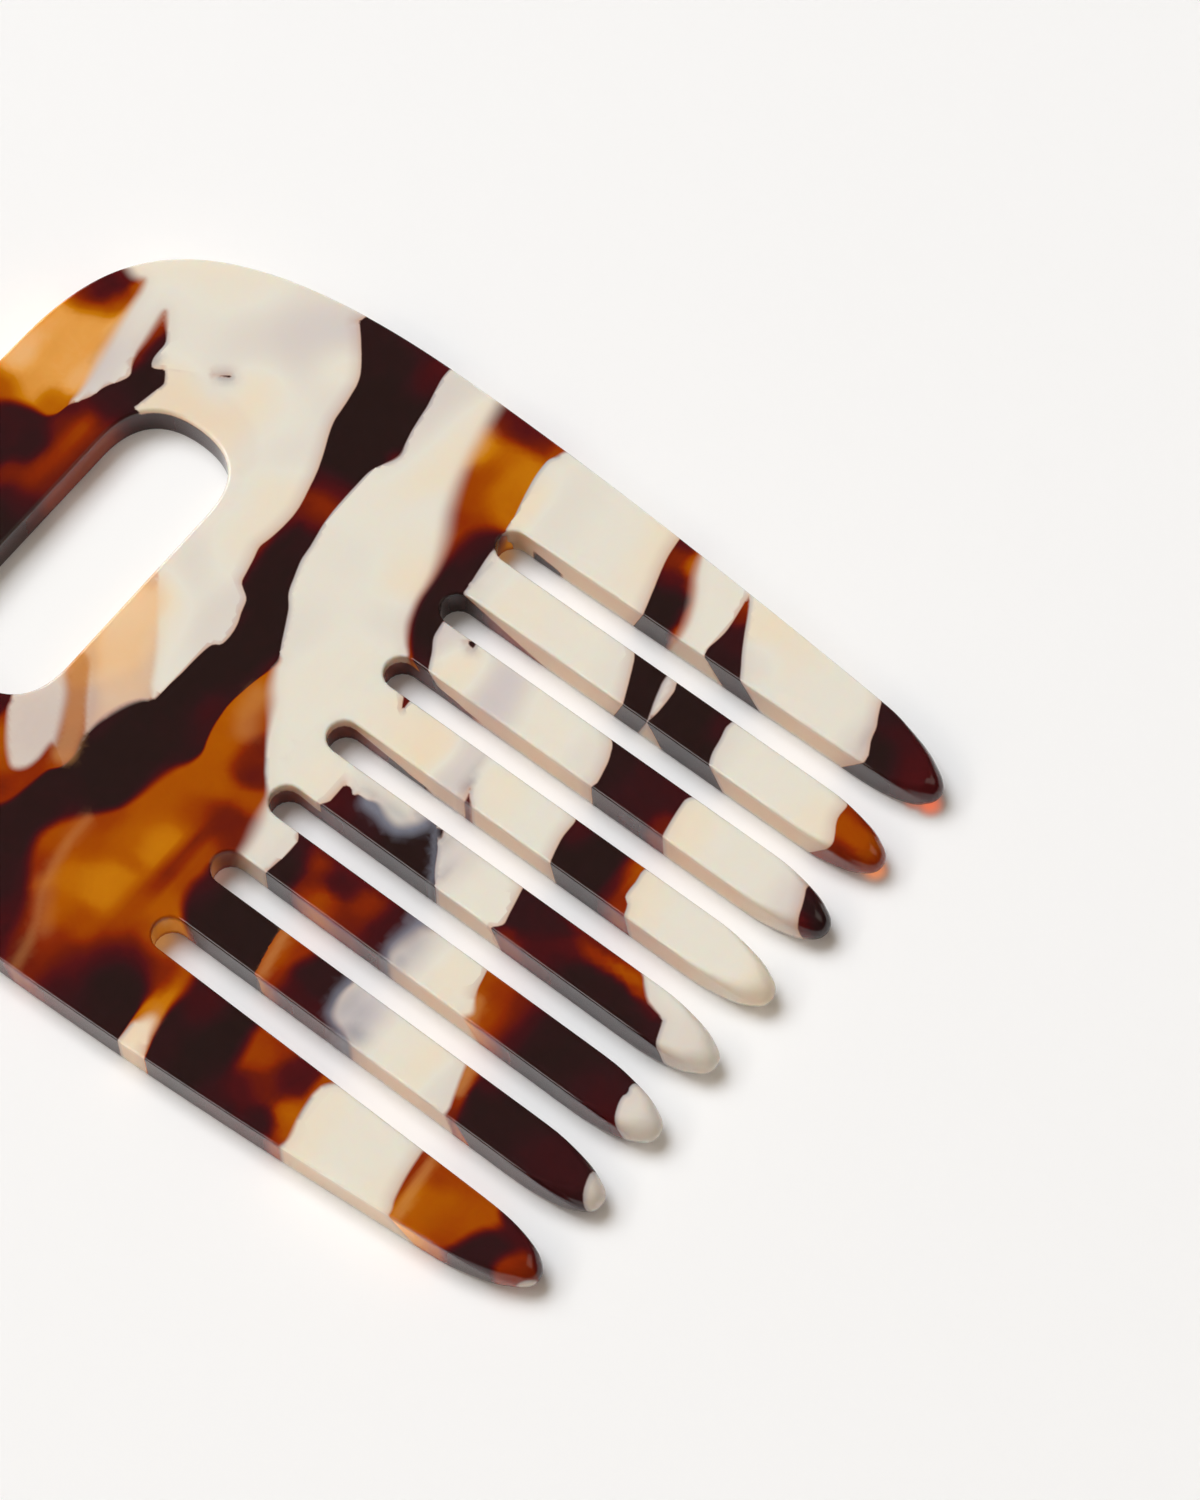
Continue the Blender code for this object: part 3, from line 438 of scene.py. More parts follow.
# Tones: 0 honey, 30 amber, 50 rust, 70 oxblood, 100 espresso
DARK_SPOTS = spots((
    # Band
    (-255, -410, 35, 25, 95), (-197, -420, 14, 16, 62), (-193, -398, 13, 14, 68), (-230, -432, 20, 6, 80),
    (-205, -340, 40, 50, 100), (-160, -305, 5, 8, 55), (-210, -280, 30, 25, 100),
    (-190, -234, 25, 10, 70), (-186, -208, 16, 19, 46), (-180, -184, 10, 10, 58),
    (-172, -155, 16, 20, 90), (-199, -175, 4.5, 22, 60), (-204, -128, 4, 16, 52), (-200, -100, 4, 14, 58),
    (-195, -80, 4, 8, 60), (-188, -145, 8, 20, 98), (-188, -110, 8, 20, 98), (-182, -86, 7, 12, 96),
    (-170, -110, 16, 30, 98), (-140, -60, 30, 30, 100), (-166, -42, 5, 10, 80), (-130, 10, 30, 30, 100),
    (-102, -15, 5, 14, 66), (-108, 20, 6, 22, 76), (-160, 50, 16, 40, 100), (-122, 62, 12, 18, 74),
    (-108, 95, 14, 16, 80), (-135, 120, 25, 20, 98), (-180, 160, 30, 40, 100), (-205, 150, 8, 20, 74),
    (-110, 175, 8, 30, 72), (-145, 200, 20, 25, 98), (-155, 265, 12, 15, 72), (-190, 280, 25, 50, 95),
    (-160, 340, 12, 20, 78), (-190, 360, 30, 30, 92), (-135, 390, 14, 30, 70), (-180, 420, 30, 30, 85),
    (8, 388, 18, 26, 100), (-25, 430, 26, 20, 84), (30, 430, 18, 20, 96), (-42, 390, 16, 45, 66),
    (5, 340, 35, 12, 64), (-25, 355, 16, 14, 70),
    # Below the top, at the slots' roots
    (0, -100, 20, 24, 60), (0, 0, 20, 24, 66), (2, 90, 20, 24, 60), (35, -30, 12, 14, 62),
    (120, -135, 30, 12, 70), (90, -210, 24, 12, 60),
    # Side flow
    (0, -230, 12, 40, 92), (-15, -275, 10, 20, 74), (10, -160, 14, 30, 100),
    # Back
    (-445, -205, 16, 22, 96), (-484, -278, 5, 12, 34), (-476, -250, 6, 22, 46), (-470, -220, 5, 12, 55),
    (-465, -245, 5, 16, 80), (-460, -165, 16, 18, 84), (-485, -132, 10, 16, 66), (-465, -110, 11, 24, 34),
    (-486, -102, 10, 14, 56), (-445, -110, 8, 30, 55), (-520, -78, 25, 22, 82), (-498, -70, 10, 12, 92),
    (-462, -62, 11, 22, 42), (-445, -45, 8, 22, 58), (-466, -24, 12, 12, 46), (-460, 2, 18, 12, 62),
    (-490, -18, 8, 12, 50), (-460, 20, 25, 25, 98), (-465, 100, 30, 40, 96), (-460, 180, 20, 25, 80),
    (-320, 210, 20, 20, 72),
    # First tooth
    (170, -420, 10, 6, 66), (172, -402, 10, 12, 50), (197, -345, 14, 22, 100), (192, -410, 8, 13, 16),
    (207, -384, 7, 10, 36), (224, -356, 5, 12, 36), (230, -328, 5, 10, 26), (185, -375, 10, 10, 64),
    (269, -405, 6, 8, 42), (272, -388, 6, 10, 52), (285, -355, 16, 14, 80), (290, -330, 30, 10, 92),
    (495, -342, 16, 16, 100), (472, -390, 12, 10, 88), (505, -380, 16, 12, 78), (540, -360, 22, 20, 69),
    (560, -380, 10, 10, 80), (574, -350, 6, 20, 72), (520, -396, 30, 5, 92),
    # Second tooth
    (235, -250, 20, 20, 100), (300, -250, 20, 25, 100), (334, -266, 7, 12, 80),
    # Third tooth
    (57, -177, 5, 5, 95), (272, -160, 12, 25, 94), (320, -152, 20, 25, 82), (350, -170, 12, 12, 76),
    (358, -132, 9, 10, 54), (562, -155, 12, 12, 94), (536, -168, 8, 6, 84), (550, -134, 8, 7, 62),
    # Fourth tooth
    (43, -76, 6, 10, 60), (175, -22, 8, 8, 68), (292, -66, 10, 12, 72), (325, -42, 24, 22, 100),
    (370, -68, 9, 12, 28), (372, -50, 5, 10, 38), (382, -28, 10, 8, 44), (360, -45, 5, 20, 60),
    # Fifth tooth
    (66, 62, 14, 16, 74), (105, 66, 16, 14, 84), (155, 55, 24, 20, 100), (135, 20, 20, 15, 95),
    (315, 36, 20, 14, 84), (350, 66, 16, 12, 70), (314, 76, 10, 5, 56), (400, 36, 16, 7, 44),
    (435, 30, 18, 7, 29), (462, 42, 10, 5, 38), (395, 22, 30, 4, 60), (435, 66, 36, 12, 95),
    (486, 52, 8, 6, 62), (500, 68, 8, 10, 86), (370, 50, 12, 8, 66),
    # Sixth tooth
    (68, 162, 12, 22, 98), (64, 130, 6, 10, 80), (90, 136, 13, 12, 45), (126, 140, 16, 8, 72),
    (100, 162, 8, 12, 56), (118, 172, 18, 11, 35), (165, 142, 13, 14, 46), (160, 170, 16, 8, 54),
    (205, 155, 16, 20, 74), (120, 124, 40, 3, 66), (245, 274, 12, 5, 80),
    # Seventh and eighth tooth
    (55, 245, 34, 30, 100), (10, 235, 12, 20, 72), (185, 240, 20, 20, 90), (195, 270, 30, 8, 74),
    (160, 270, 12, 10, 70), (420, 250, 30, 30, 96), (400, 226, 12, 8, 70), (510, 252, 30, 14, 80),
    (392, 270, 6, 12, 66), (138, 385, 24, 40, 100), (105, 340, 12, 20, 72), (100, 410, 12, 20, 88),
    (170, 410, 12, 20, 78), (512, 380, 14, 20, 86), (535, 342, 30, 6, 70), (500, 410, 20, 6, 95),
))
AMBER_SPOTS = spots((
    # Amber mass
    (-92, 25, 12, 25, 22), (-72, 40, 8, 16, 34), (-50, 82, 10, 16, 54), (-34, 100, 10, 10, 60),
    (-85, 90, 16, 20, 26), (-20, 125, 14, 8, 33), (-70, 135, 20, 14, 28), (-22, 162, 20, 14, 56),
    (5, 172, 10, 14, 52), (-55, 175, 14, 14, 37), (-92, 185, 16, 24, 29), (-58, 230, 18, 28, 15),
    (-90, 245, 14, 14, 26), (-70, 260, 20, 6, 30), (-30, 240, 4.5, 45, 62), (-42, 260, 3, 40, 50),
    (-15, 220, 8, 25, 36), (-78, 300, 22, 18, 15), (-110, 315, 16, 16, 20), (-35, 295, 12, 25, 28),
    (-5, 290, 16, 16, 26), (-30, 310, 6, 20, 36), (-8, 310, 10, 10, 36), (-125, 235, 10, 16, 38),
    (-150, 292, 13, 18, 32), (-148, 320, 10, 12, 46), (-120, 275, 14, 14, 33), (-100, 355, 14, 16, 24),
    (-70, 350, 16, 12, 34), (-80, 390, 14, 20, 46), (-15, 322, 8, 12, 46), (-35, 338, 8, 12, 42),
    (-58, 398, 12, 14, 53), (-115, 375, 10, 20, 50), (-70, 420, 20, 12, 55), (-105, 420, 16, 16, 58),
    (15, 312, 20, 10, 36), (40, 345, 12, 14, 50),
    # Side flow
    (-65, -424, 30, 12, 66), (-90, -410, 14, 10, 56), (-32, -420, 12, 8, 52), (-20, -420, 6, 10, 26),
    (-30, -385, 16, 20, 15.5), (-60, -385, 14, 14, 22), (-90, -380, 12, 20, 10), (-35, -350, 12, 20, 20),
    (-62, -345, 8, 20, 34), (-78, -325, 8, 20, 36), (-52, -312, 14, 12, 36), (-20, -328, 12, 14, 20),
    (-30, -300, 14, 10, 42), (-55, -285, 14, 12, 44), (-40, -260, 10, 16, 38), (-30, -220, 7, 30, 44),
    (-20, -170, 8, 25, 48), (-2, -136, 10, 10, 46),
    # Back
    (-562, -276, 21, 19, 73), (-562, -298, 14, 6, 60), (-578, -255, 8, 14, 54), (-533, -295, 6, 10, 22),
    (-538, -268, 8, 10, 26), (-578, -210, 10, 24, 6.5), (-542, -220, 16, 26, 6.5), (-522, -250, 6, 22, 4),
    (-555, -172, 10, 10, 8), (-580, -150, 12, 26, 3), (-535, -165, 16, 24, 6), (-510, -170, 8, 24, 4),
    (-510, -125, 10, 10, 22), (-552, -118, 14, 12, 8), (-570, -105, 16, 10, 30), (-580, -20, 20, 40, 45),
    (-540, 30, 25, 40, 20), (-580, 90, 20, 30, 30),
    # Beside the hole's front end
    (-274, -22, 5, 10, 16), (-265, 30, 16, 30, 0), (-245, 70, 16, 24, 3), (-210, 120, 12, 30, 10),
    (-255, 195, 14, 22, 40), (-280, 100, 6, 20, 12), (-272, 114, 12, 14, 22), (-236, 158, 12, 14, 42),
    (-220, 188, 8, 14, 50), (-213, 218, 7, 12, 36), (-285, 235, 12, 14, 28), (-295, 216, 5, 8, 42),
    (-260, 260, 14, 10, 34), (-230, 245, 10, 20, 46), (-242, 280, 14, 14, 52), (-228, 275, 6, 20, 40),
    (-300, 330, 30, 40, 30),
    # Teeth
    (512, -258, 10, 14, 34), (548, -250, 18, 12, 33), (532, -228, 20, 6, 54), (535, -272, 30, 5, 48),
    (570, -245, 7, 14, 50), (330, 162, 8, 12, 20), (322, 128, 7, 14, 34), (342, 138, 12, 16, 42),
    (355, 162, 12, 14, 34), (372, 145, 10, 30, 54), (390, 155, 8, 30, 72), (435, 150, 34, 30, 98),
    (495, 160, 20, 16, 78), (512, 130, 14, 14, 86), (120, 235, 8, 20, 32), (128, 260, 8, 20, 34),
    (142, 230, 8, 16, 44), (145, 270, 8, 14, 48), (372, 230, 6, 20, 30), (382, 260, 5, 20, 44),
    (380, 226, 5, 14, 36), (390, 280, 5, 10, 56), (70, 360, 10, 30, 16), (62, 372, 7, 14, 14),
    (74, 330, 14, 10, 36), (80, 395, 4, 20, 30), (184, 342, 14, 14, 38), (170, 326, 16, 6, 40),
    (232, 346, 14, 16, 70), (212, 376, 12, 12, 56), (196, 402, 14, 16, 70), (234, 412, 14, 12, 86),
    (252, 382, 10, 12, 22), (258, 340, 4, 20, 32), (260, 402, 8, 10, 30), (260, 418, 10, 6, 48),
    (195, 326, 12, 8, 46), (398, 355, 4.5, 50, 44), (412, 380, 6, 20, 18), (408, 340, 5, 14, 26),
    (422, 338, 12, 10, 40), (440, 375, 16, 20, 25), (485, 345, 16, 14, 31), (462, 385, 12, 16, 36),
    (450, 332, 20, 5, 36), (545, 378, 10, 16, 45), (562, 358, 10, 8, 50), (480, 405, 14, 8, 44),
))

# Warmth of the cream: 0 lilac grey, 50 cream, 100 peach
CREAM_SPOTS = spots((
    (-530, -360, 40, 30, 66), (-460, -380, 40, 30, 58), (-335, -355, 30, 30, 10),
    (-390, -320, 20, 20, 28), (-280, -360, 16, 16, 72), (-300, -400, 16, 16, 12),
    (-370, -260, 14, 14, 30), (-340, -260, 20, 30, 85), (-400, -210, 30, 16, 84),
    (-460, -310, 30, 20, 42), (-500, -280, 14, 30, 40), (-495, -210, 12, 30, 8), (-290, -280, 20, 40, 50),
    (-260, -320, 14, 20, 35), (-255, -230, 16, 20, 36), (-240, -190, 16, 20, 72),
    (-275, -150, 16, 20, 44), (-230, -120, 16, 30, 66), (-260, -60, 20, 20, 30), (-185, -30, 12, 30, 26),
    (-266, 10, 14, 24, 105), (-258, 45, 20, 26, 115), (-250, 85, 22, 22, 110), (-220, 100, 14, 16, 80),
    (-225, 20, 10, 20, 50), (-200, 60, 12, 20, 44), (-220, 120, 16, 16, 30), (-260, 195, 16, 20, 22),
    (-278, 170, 10, 16, 30), (-160, -400, 14, 40, 18), (-145, -340, 14, 30, 30), (-125, -360, 14, 30, 72),
    (-120, -310, 14, 30, 80), (-130, -240, 20, 30, 52), (-100, -260, 16, 20, 44), (-75, -230, 16, 20, 62),
    (-50, -190, 14, 20, 80), (-40, -150, 14, 16, 34), (-120, -180, 20, 20, 44), (-90, -120, 20, 30, 50),
    (-100, -80, 14, 20, 32), (-50, -60, 20, 30, 56), (-30, 30, 20, 20, 52), (2, -360, 8, 20, 85),
    (30, -390, 20, 20, 40), (40, -350, 16, 16, 38), (100, -370, 30, 30, 52), (150, -400, 14, 30, 78),
    (245, -370, 12, 30, 50), (310, -400, 16, 16, 80), (320, -355, 12, 14, 36), (350, -390, 16, 16, 66),
    (420, -360, 30, 30, 50), (468, -345, 10, 20, 12), (20, -250, 10, 20, 36), (80, -240, 20, 20, 62),
    (140, -250, 30, 30, 52), (200, -250, 14, 30, 40), (260, -270, 6, 12, 20), (360, -250, 8, 30, 36),
    (420, -250, 30, 30, 50), (490, -240, 14, 20, 70), (25, -170, 12, 20, 10), (65, -140, 16, 16, 72),
    (116, -155, 14, 30, 2), (130, -130, 14, 14, 6), (180, -150, 20, 30, 56), (250, -140, 14, 20, 36),
    (385, -145, 14, 20, 76), (460, -150, 30, 30, 48), (520, -160, 10, 20, 16), (535, -130, 8, 14, 20),
    (60, -50, 20, 20, 66), (90, -50, 20, 20, 86), (142, -50, 10, 30, 6), (155, -25, 14, 10, 14),
    (190, -55, 14, 20, 66), (260, -60, 16, 20, 50), (400, -40, 14, 20, 76), (460, -50, 30, 30, 50),
    (560, -60, 14, 14, 68), (570, -40, 10, 14, 80), (35, 50, 14, 20, 64), (80, 25, 20, 10, 30),
    (205, 40, 12, 20, 14), (250, 50, 16, 30, 50), (490, 35, 14, 10, 40), (540, 50, 20, 20, 26),
    (570, 50, 8, 16, 46), (30, 150, 14, 20, 40), (50, 150, 6, 20, 24), (245, 155, 12, 20, 16),
    (285, 160, 16, 20, 66), (540, 150, 20, 20, 26), (245, 240, 14, 20, 4), (300, 250, 20, 30, 54),
    (330, 240, 10, 30, 72), (362, 260, 10, 20, 30), (568, 250, 8, 20, 24), (72, 412, 14, 20, 85),
    (285, 380, 12, 30, 74), (330, 360, 30, 30, 54), (380, 330, 10, 14, 40), (385, 380, 10, 20, 66),
    (560, 388, 14, 14, 60),
))


@dataclass(frozen=True)
class Veil:
    """A film along a line on a patch, in tooth pitches.

    Args:
        points: The line's points as (along, across).
        half_width: Half its width.
        softness: How far it fades beyond that.
        strength: How dense it is.
        warm: Whether it is milky, or else slate.
    """

    points: tuple
    half_width: float
    softness: float
    strength: float
    warm: bool


VEILS = (
    Veil((
        (-1.42, 2.5), (-1.41, 2.8), (-1.35, 3.15), (-1.24, 3.48), (-1.05, 3.78), (-0.97, 4.0),
        (-0.9, 4.3),
    ), 0.02, 0.08, 0.26, True),
    Veil(((-1.3, 3.35), (-1.1, 3.62), (-0.95, 3.8)), 0.03, 0.14, 0.18, True),
    Veil(((-0.9, 0.2), (-0.84, 0.45), (-0.74, 0.6)), 0.05, 0.16, 0.3, True),
    Veil(((1.56, 0.1), (1.66, 0.26), (1.85, 0.5), (2.03, 0.76)), 0.02, 0.045, 0.5, False),
    Veil((
        (0.9, 0.42), (1.08, 0.43), (1.2, 0.46), (1.31, 0.46), (1.41, 0.38), (1.48, 0.26),
    ), 0.07, 0.12, 0.85, False),
    Veil(((2.28, 1.1), (2.24, 1.45), (2.22, 1.62), (2.3, 1.84)), 0.06, 0.12, 0.8, False),
    Veil(((2.11, 2.2), (2.1, 2.4), (2.16, 2.62), (2.34, 2.71), (2.56, 2.82)), 0.04, 0.11, 0.75, False),
    Veil(((2.12, 1.24), (2.13, 1.3)), 0.03, 0.07, 0.45, False),
    Veil(((1.14, 2.15), (1.2, 2.45), (1.26, 2.75)), 0.03, 0.05, 0.35, True),
    Veil(((4.06, 3.3), (4.1, 3.65), (4.16, 3.98)), 0.03, 0.05, 0.35, True),
    Veil(((3.72, 2.2), (3.79, 2.5)), 0.03, 0.06, 0.45, True),
    Veil(((-5.22, -2.85), (-5.2, -2.4), (-5.12, -1.9)), 0.02, 0.06, 0.4, True),
    Veil(((-0.98, -3.95), (-0.93, -3.55)), 0.05, 0.1, 0.4, True),
    Veil(((-2.72, 1.1), (-2.5, 1.4), (-2.25, 1.78), (-2.14, 2.05)), 0.07, 0.12, 0.55, True),
    Veil(((0.7, 3.98), (0.66, 3.8)), 0.02, 0.09, 0.35, True),
    Veil(((3.3, 1.55), (3.38, 1.75)), 0.04, 0.06, 0.3, True),
)
# Shade on the cream where dark acetate shows through from below
SHADE_SPOTS = spots((
    (120, 36, 22, 7, 35), (85, 35, 16, 5, 25), (142, 22, 8, 7, 45), (222, 245, 12, 22, 40),
    (248, 266, 14, 11, 60), (238, 245, 16, 18, 35), (234, 148, 12, 25, 35), (234, 170, 10, 12, 45),
    (-377, -268, 10, 8, 35), (60, -170, 8, 6, 35), (152, -55, 3, 20, 30), (162, -40, 3, 10, 50),
    (-452, -236, 5, 8, 45), (10, -250, 3, 40, 30), (474, -360, 5, 30, 22), (206, 62, 4, 14, 40),
    (186, 30, 6, 12, 30),
))


@dataclass
class TortoiseSheet:
    """The sheet's pattern: for any place in the sheet, which acetate is there and in what tone.

    Args:
        sizes: The comb's sizes, which turn places in metres into tooth pitches.
        curve_steps: The steps between two points of a patch's outline.
        near_share: How near to a patch's edge small faces are wanted, in tooth pitches.
        slant_step: The step over which the edges' slant is measured, in tooth pitches.
        sharpest: The least softness of an edge, in tooth pitches.
        hazy: The softness from which a dark edge needs no small faces, in tooth pitches.
        firm: The softness up to which an edge's slant shows, in tooth pitches.
        cool_share: How bluish the ivory over a slanting side gets.
        warm_share: How tan it gets on the other side.
        fall: How fast a spot's pull falls off.
    """

    NO_LENGTH = 1e-12

    sizes: "CombSizes"
    curve_steps: int = 5
    near_share: float = 0.075
    slant_step: float = 0.02
    sharpest: float = 0.006
    hazy: float = 0.08
    firm: float = 0.03
    cool_share: float = 0.55
    warm_share: float = 0.30
    fall: float = 0.7

    def outline(self, patch: Patch) -> np.ndarray:
        """Round a patch's outline. A point that is given twice is a corner.

        Args:
            patch: The patch.

        Returns:
            Rows of a place along the teeth, a place across them and a softness.
        """
        full = np.array([tuple(point) + (CRISP,) * (3 - len(point)) for point in patch.points], float)
        before, after, beyond = np.roll(full, 1, 0), np.roll(full, -1, 0), np.roll(full, -2, 0)
        turns = np.linspace(0.0, 1.0, self.curve_steps, endpoint=False)[:, None, None]
        linear_part = after - before
        square_part = 2 * before - 5 * full + 4 * after - beyond
        cubic_part = 3 * full - before - 3 * after + beyond
        curve = full + 0.5 * (linear_part * turns + square_part * turns**2 + cubic_part * turns**3)
        rounded = curve.transpose(1, 0, 2).reshape(-1, 3)
        rounded[:, 2] = np.maximum(rounded[:, 2], self.sharpest)
        return rounded

    def gap_inside(self, outline: np.ndarray, along: np.ndarray, across: np.ndarray) -> tuple:
        """Measure how far places are inside an outline.

        Args:
            outline: The rounded outline.
            along: The places along the teeth.
            across: The places across the teeth.

        Returns:
            The distances, below zero outside, and the softness of the nearest edge.
        """
        best = np.full(along.shape, np.inf)
        soft = np.full(along.shape, CRISP)
        inside = np.zeros(along.shape, bool)
        for (x0, y0, s0), (x1, y1, s1) in zip(outline, np.roll(outline, -1, 0)):
            run, rise = x1 - x0, y1 - y0
            length = run * run + rise * rise
            if length < self.NO_LENGTH:
                continue
            share = np.clip(((along - x0) * run + (across - y0) * rise) / length, 0, 1)
            gap = (along - x0 - share * run) ** 2 + (across - y0 - share * rise) ** 2
            nearer = gap < best
            best = np.where(nearer, gap, best)
            soft = np.where(nearer, s0 + share * (s1 - s0), soft)
            if rise:
                crosses = (y0 > across) != (y1 > across)
                inside ^= crosses & (along < x0 + (across - y0) / rise * run)
        return np.where(inside, 1, -1) * np.sqrt(best), soft

    def tones(
        self, spots: tuple, along: np.ndarray, across: np.ndarray, base: float, weight: float,
        spread: float = 1.0,
    ) -> np.ndarray:
        """Blend the spots' tones.

        Args:
            spots: The spots.
            along: The places along the teeth.
            across: The places across the teeth.
            base: The tone where no spot is near.
            weight: How strongly the base counts beside the spots.
            spread: How much further than its reach each spot is felt.

        Returns:
            The tones.
        """
        total = np.full(along.shape, weight)
        mean = np.full(along.shape, weight * base)
        for spot in spots:
            pull = self.pull(spot, along, across, spread)
            total += pull
            mean += pull * spot.tone
        return mean / total

    def pull(self, spot: Spot, along: np.ndarray, across: np.ndarray, spread: float = 1.0) -> np.ndarray:
        """Return how strongly a spot is felt at places."""
        ahead, aside = (along - spot.along) / spot.reach_along, (across - spot.across) / spot.reach_across
        return np.exp(-self.fall * (ahead**2 + aside**2) / spread**2)

    def film(self, warm: bool, along: np.ndarray, across: np.ndarray) -> np.ndarray:
        """Return how much film lies over places.

        Args:
            warm: Whether the milky films are meant, or else the slate ones.
            along: The places along the teeth.
            across: The places across the teeth.

        Returns:
            The films' strength.
        """
        strength = np.zeros(along.shape)
        for film in VEILS:
            if film.warm != warm:
                continue
            best = np.full(along.shape, np.inf)
            for (x0, y0), (x1, y1) in zip(film.points, film.points[1:]):
                run, rise = x1 - x0, y1 - y0
                share = ((along - x0) * run + (across - y0) * rise) / (run * run + rise * rise)
                share = np.clip(share, 0, 1)
                best = np.minimum(best, np.hypot(along - x0 - share * run, across - y0 - share * rise))
            fade = np.clip(1 - (best - film.half_width) / film.softness, 0, 1)
            strength = np.maximum(strength, film.strength * fade)
        return strength

    def edges(self, along: np.ndarray, across: np.ndarray, depth: np.ndarray) -> dict:
        """Measure the patches' edges.

        Args:
            along: The places along the teeth.
            across: The places across the teeth.
            depth: The places' depth, 0 on top and 1 at the underside.

        Returns:
            For "inlay" and "darks" the distance inside the nearest edge and its softness.
        """
        found = {
            name: [np.full(along.shape, -FAR), np.full(along.shape, CRISP)] for name in ("inlay", "darks")
        }
        for patch in PATCHES:
            outline = self.outline(patch)
            low, high = outline[:, :2].min(0) - FAR, outline[:, :2].max(0) + FAR
            x, y = along - patch.lean[0] * depth, across - patch.lean[1] * depth
            near = (x > low[0]) & (x < high[0]) & (y > low[1]) & (y < high[1])
            if not near.any():
                continue
            gap, soft = self.gap_inside(outline, x[near], y[near])
            gap = np.clip(gap, -FAR, FAR)
            if patch.strength < 1:
                gap = np.minimum(gap, soft * (2 * patch.strength - 1))
            if patch.below > 0:
                top = patch.below + patch.sinks * np.maximum(x[near], 0)
                sunk = (depth[near] - top) * self.sizes.thickness / self.sizes.pitch
                gap = np.minimum(gap, sunk)
            sign = -1 if patch.kind is Kind.CREAM else 1
            names = ("inlay", "darks") if patch.kind is Kind.DARK else ("inlay",)
            for name in names:
                old, old_soft = found[name][0][near], found[name][1][near]
                takes = sign * (gap * sign / soft) > sign * (old / old_soft)
                found[name][0][near] = np.where(takes, gap * sign, old)
                found[name][1][near] = np.where(takes, soft, old_soft)
        return found

    def pitches(self, places: np.ndarray) -> tuple:
        """Turn places in metres into tooth pitches along and across the teeth, and a depth."""
        s = self.sizes
        along = (places[:, 1] - ORIGIN_Y) / s.pitch
        return along, places[:, 0] / s.pitch, 1 - places[:, 2] / s.thickness

    def near_edge(self, places: np.ndarray, depth: float) -> np.ndarray:
        """Tell which places are near an edge of a patch.

        Args:
            places: Rows of x and y in metres.
            depth: Their depth in the sheet.

        Returns:
            True for each place that is near one.
        """
        height = np.full(len(places), (1 - depth) * self.sizes.thickness)
        along, across, depths = self.pitches(np.column_stack((places, height)))
        found = self.edges(along, across, depths)
        inlay, darks = found["inlay"][0], found["darks"][0]
        soft = found["darks"][1] > self.hazy
        filmed = (self.film(True, along, across) > 0) | (self.film(False, along, across) > 0)
        inner = (abs(darks) < self.near_share) & (inlay > 0) & ~soft
        return (abs(inlay) < self.near_share) | inner | filmed

    def paint(self, mesh: bpy.types.Mesh) -> None:
        """Keep the pattern in the mesh's attributes, its distances in metres.

        Args:
            mesh: The comb's mesh.
        """
        places = np.empty(len(mesh.vertices) * 3)
        mesh.vertices.foreach_get("co", places)
        along, across, depth = self.pitches(places.reshape(-1, 3))
        found = self.edges(along, across, depth)
        pitch = self.sizes.pitch
        shifted = self.edges(along - self.slant_step, across, depth)["inlay"][0]
        slant = (shifted - found["inlay"][0]) / self.slant_step * (found["inlay"][1] < self.firm)
        cool = np.clip(slant, 0, 1) * self.cool_share
        warm = np.clip(-slant, 0, 1) * self.warm_share
        shade = np.zeros(len(along))
        for spot in SHADE_SPOTS:
            shade = np.maximum(shade, spot.tone * self.pull(spot, along, across))
        amber = self.tones(AMBER_SPOTS, along, across, base=0.35, weight=0.02)
        dark = self.tones(DARK_SPOTS, along, across, base=0.97, weight=0.02)
        warmth = self.tones(CREAM_SPOTS, along, across, base=0.5, weight=0.12, spread=1.35)
        values = {
            "inlay": (found["inlay"][0] * pitch, found["inlay"][1] * pitch, amber),
            "darks": (found["darks"][0] * pitch, found["darks"][1] * pitch, dark),
            "ivory": (warmth, shade, cool),
            "films": (self.film(True, along, across), self.film(False, along, across), warm),
        }
        for name, parts in values.items():
            kept = mesh.attributes.new(name, "FLOAT_VECTOR", "POINT")
            kept.data.foreach_set("vector", np.stack(parts, 1).ravel())


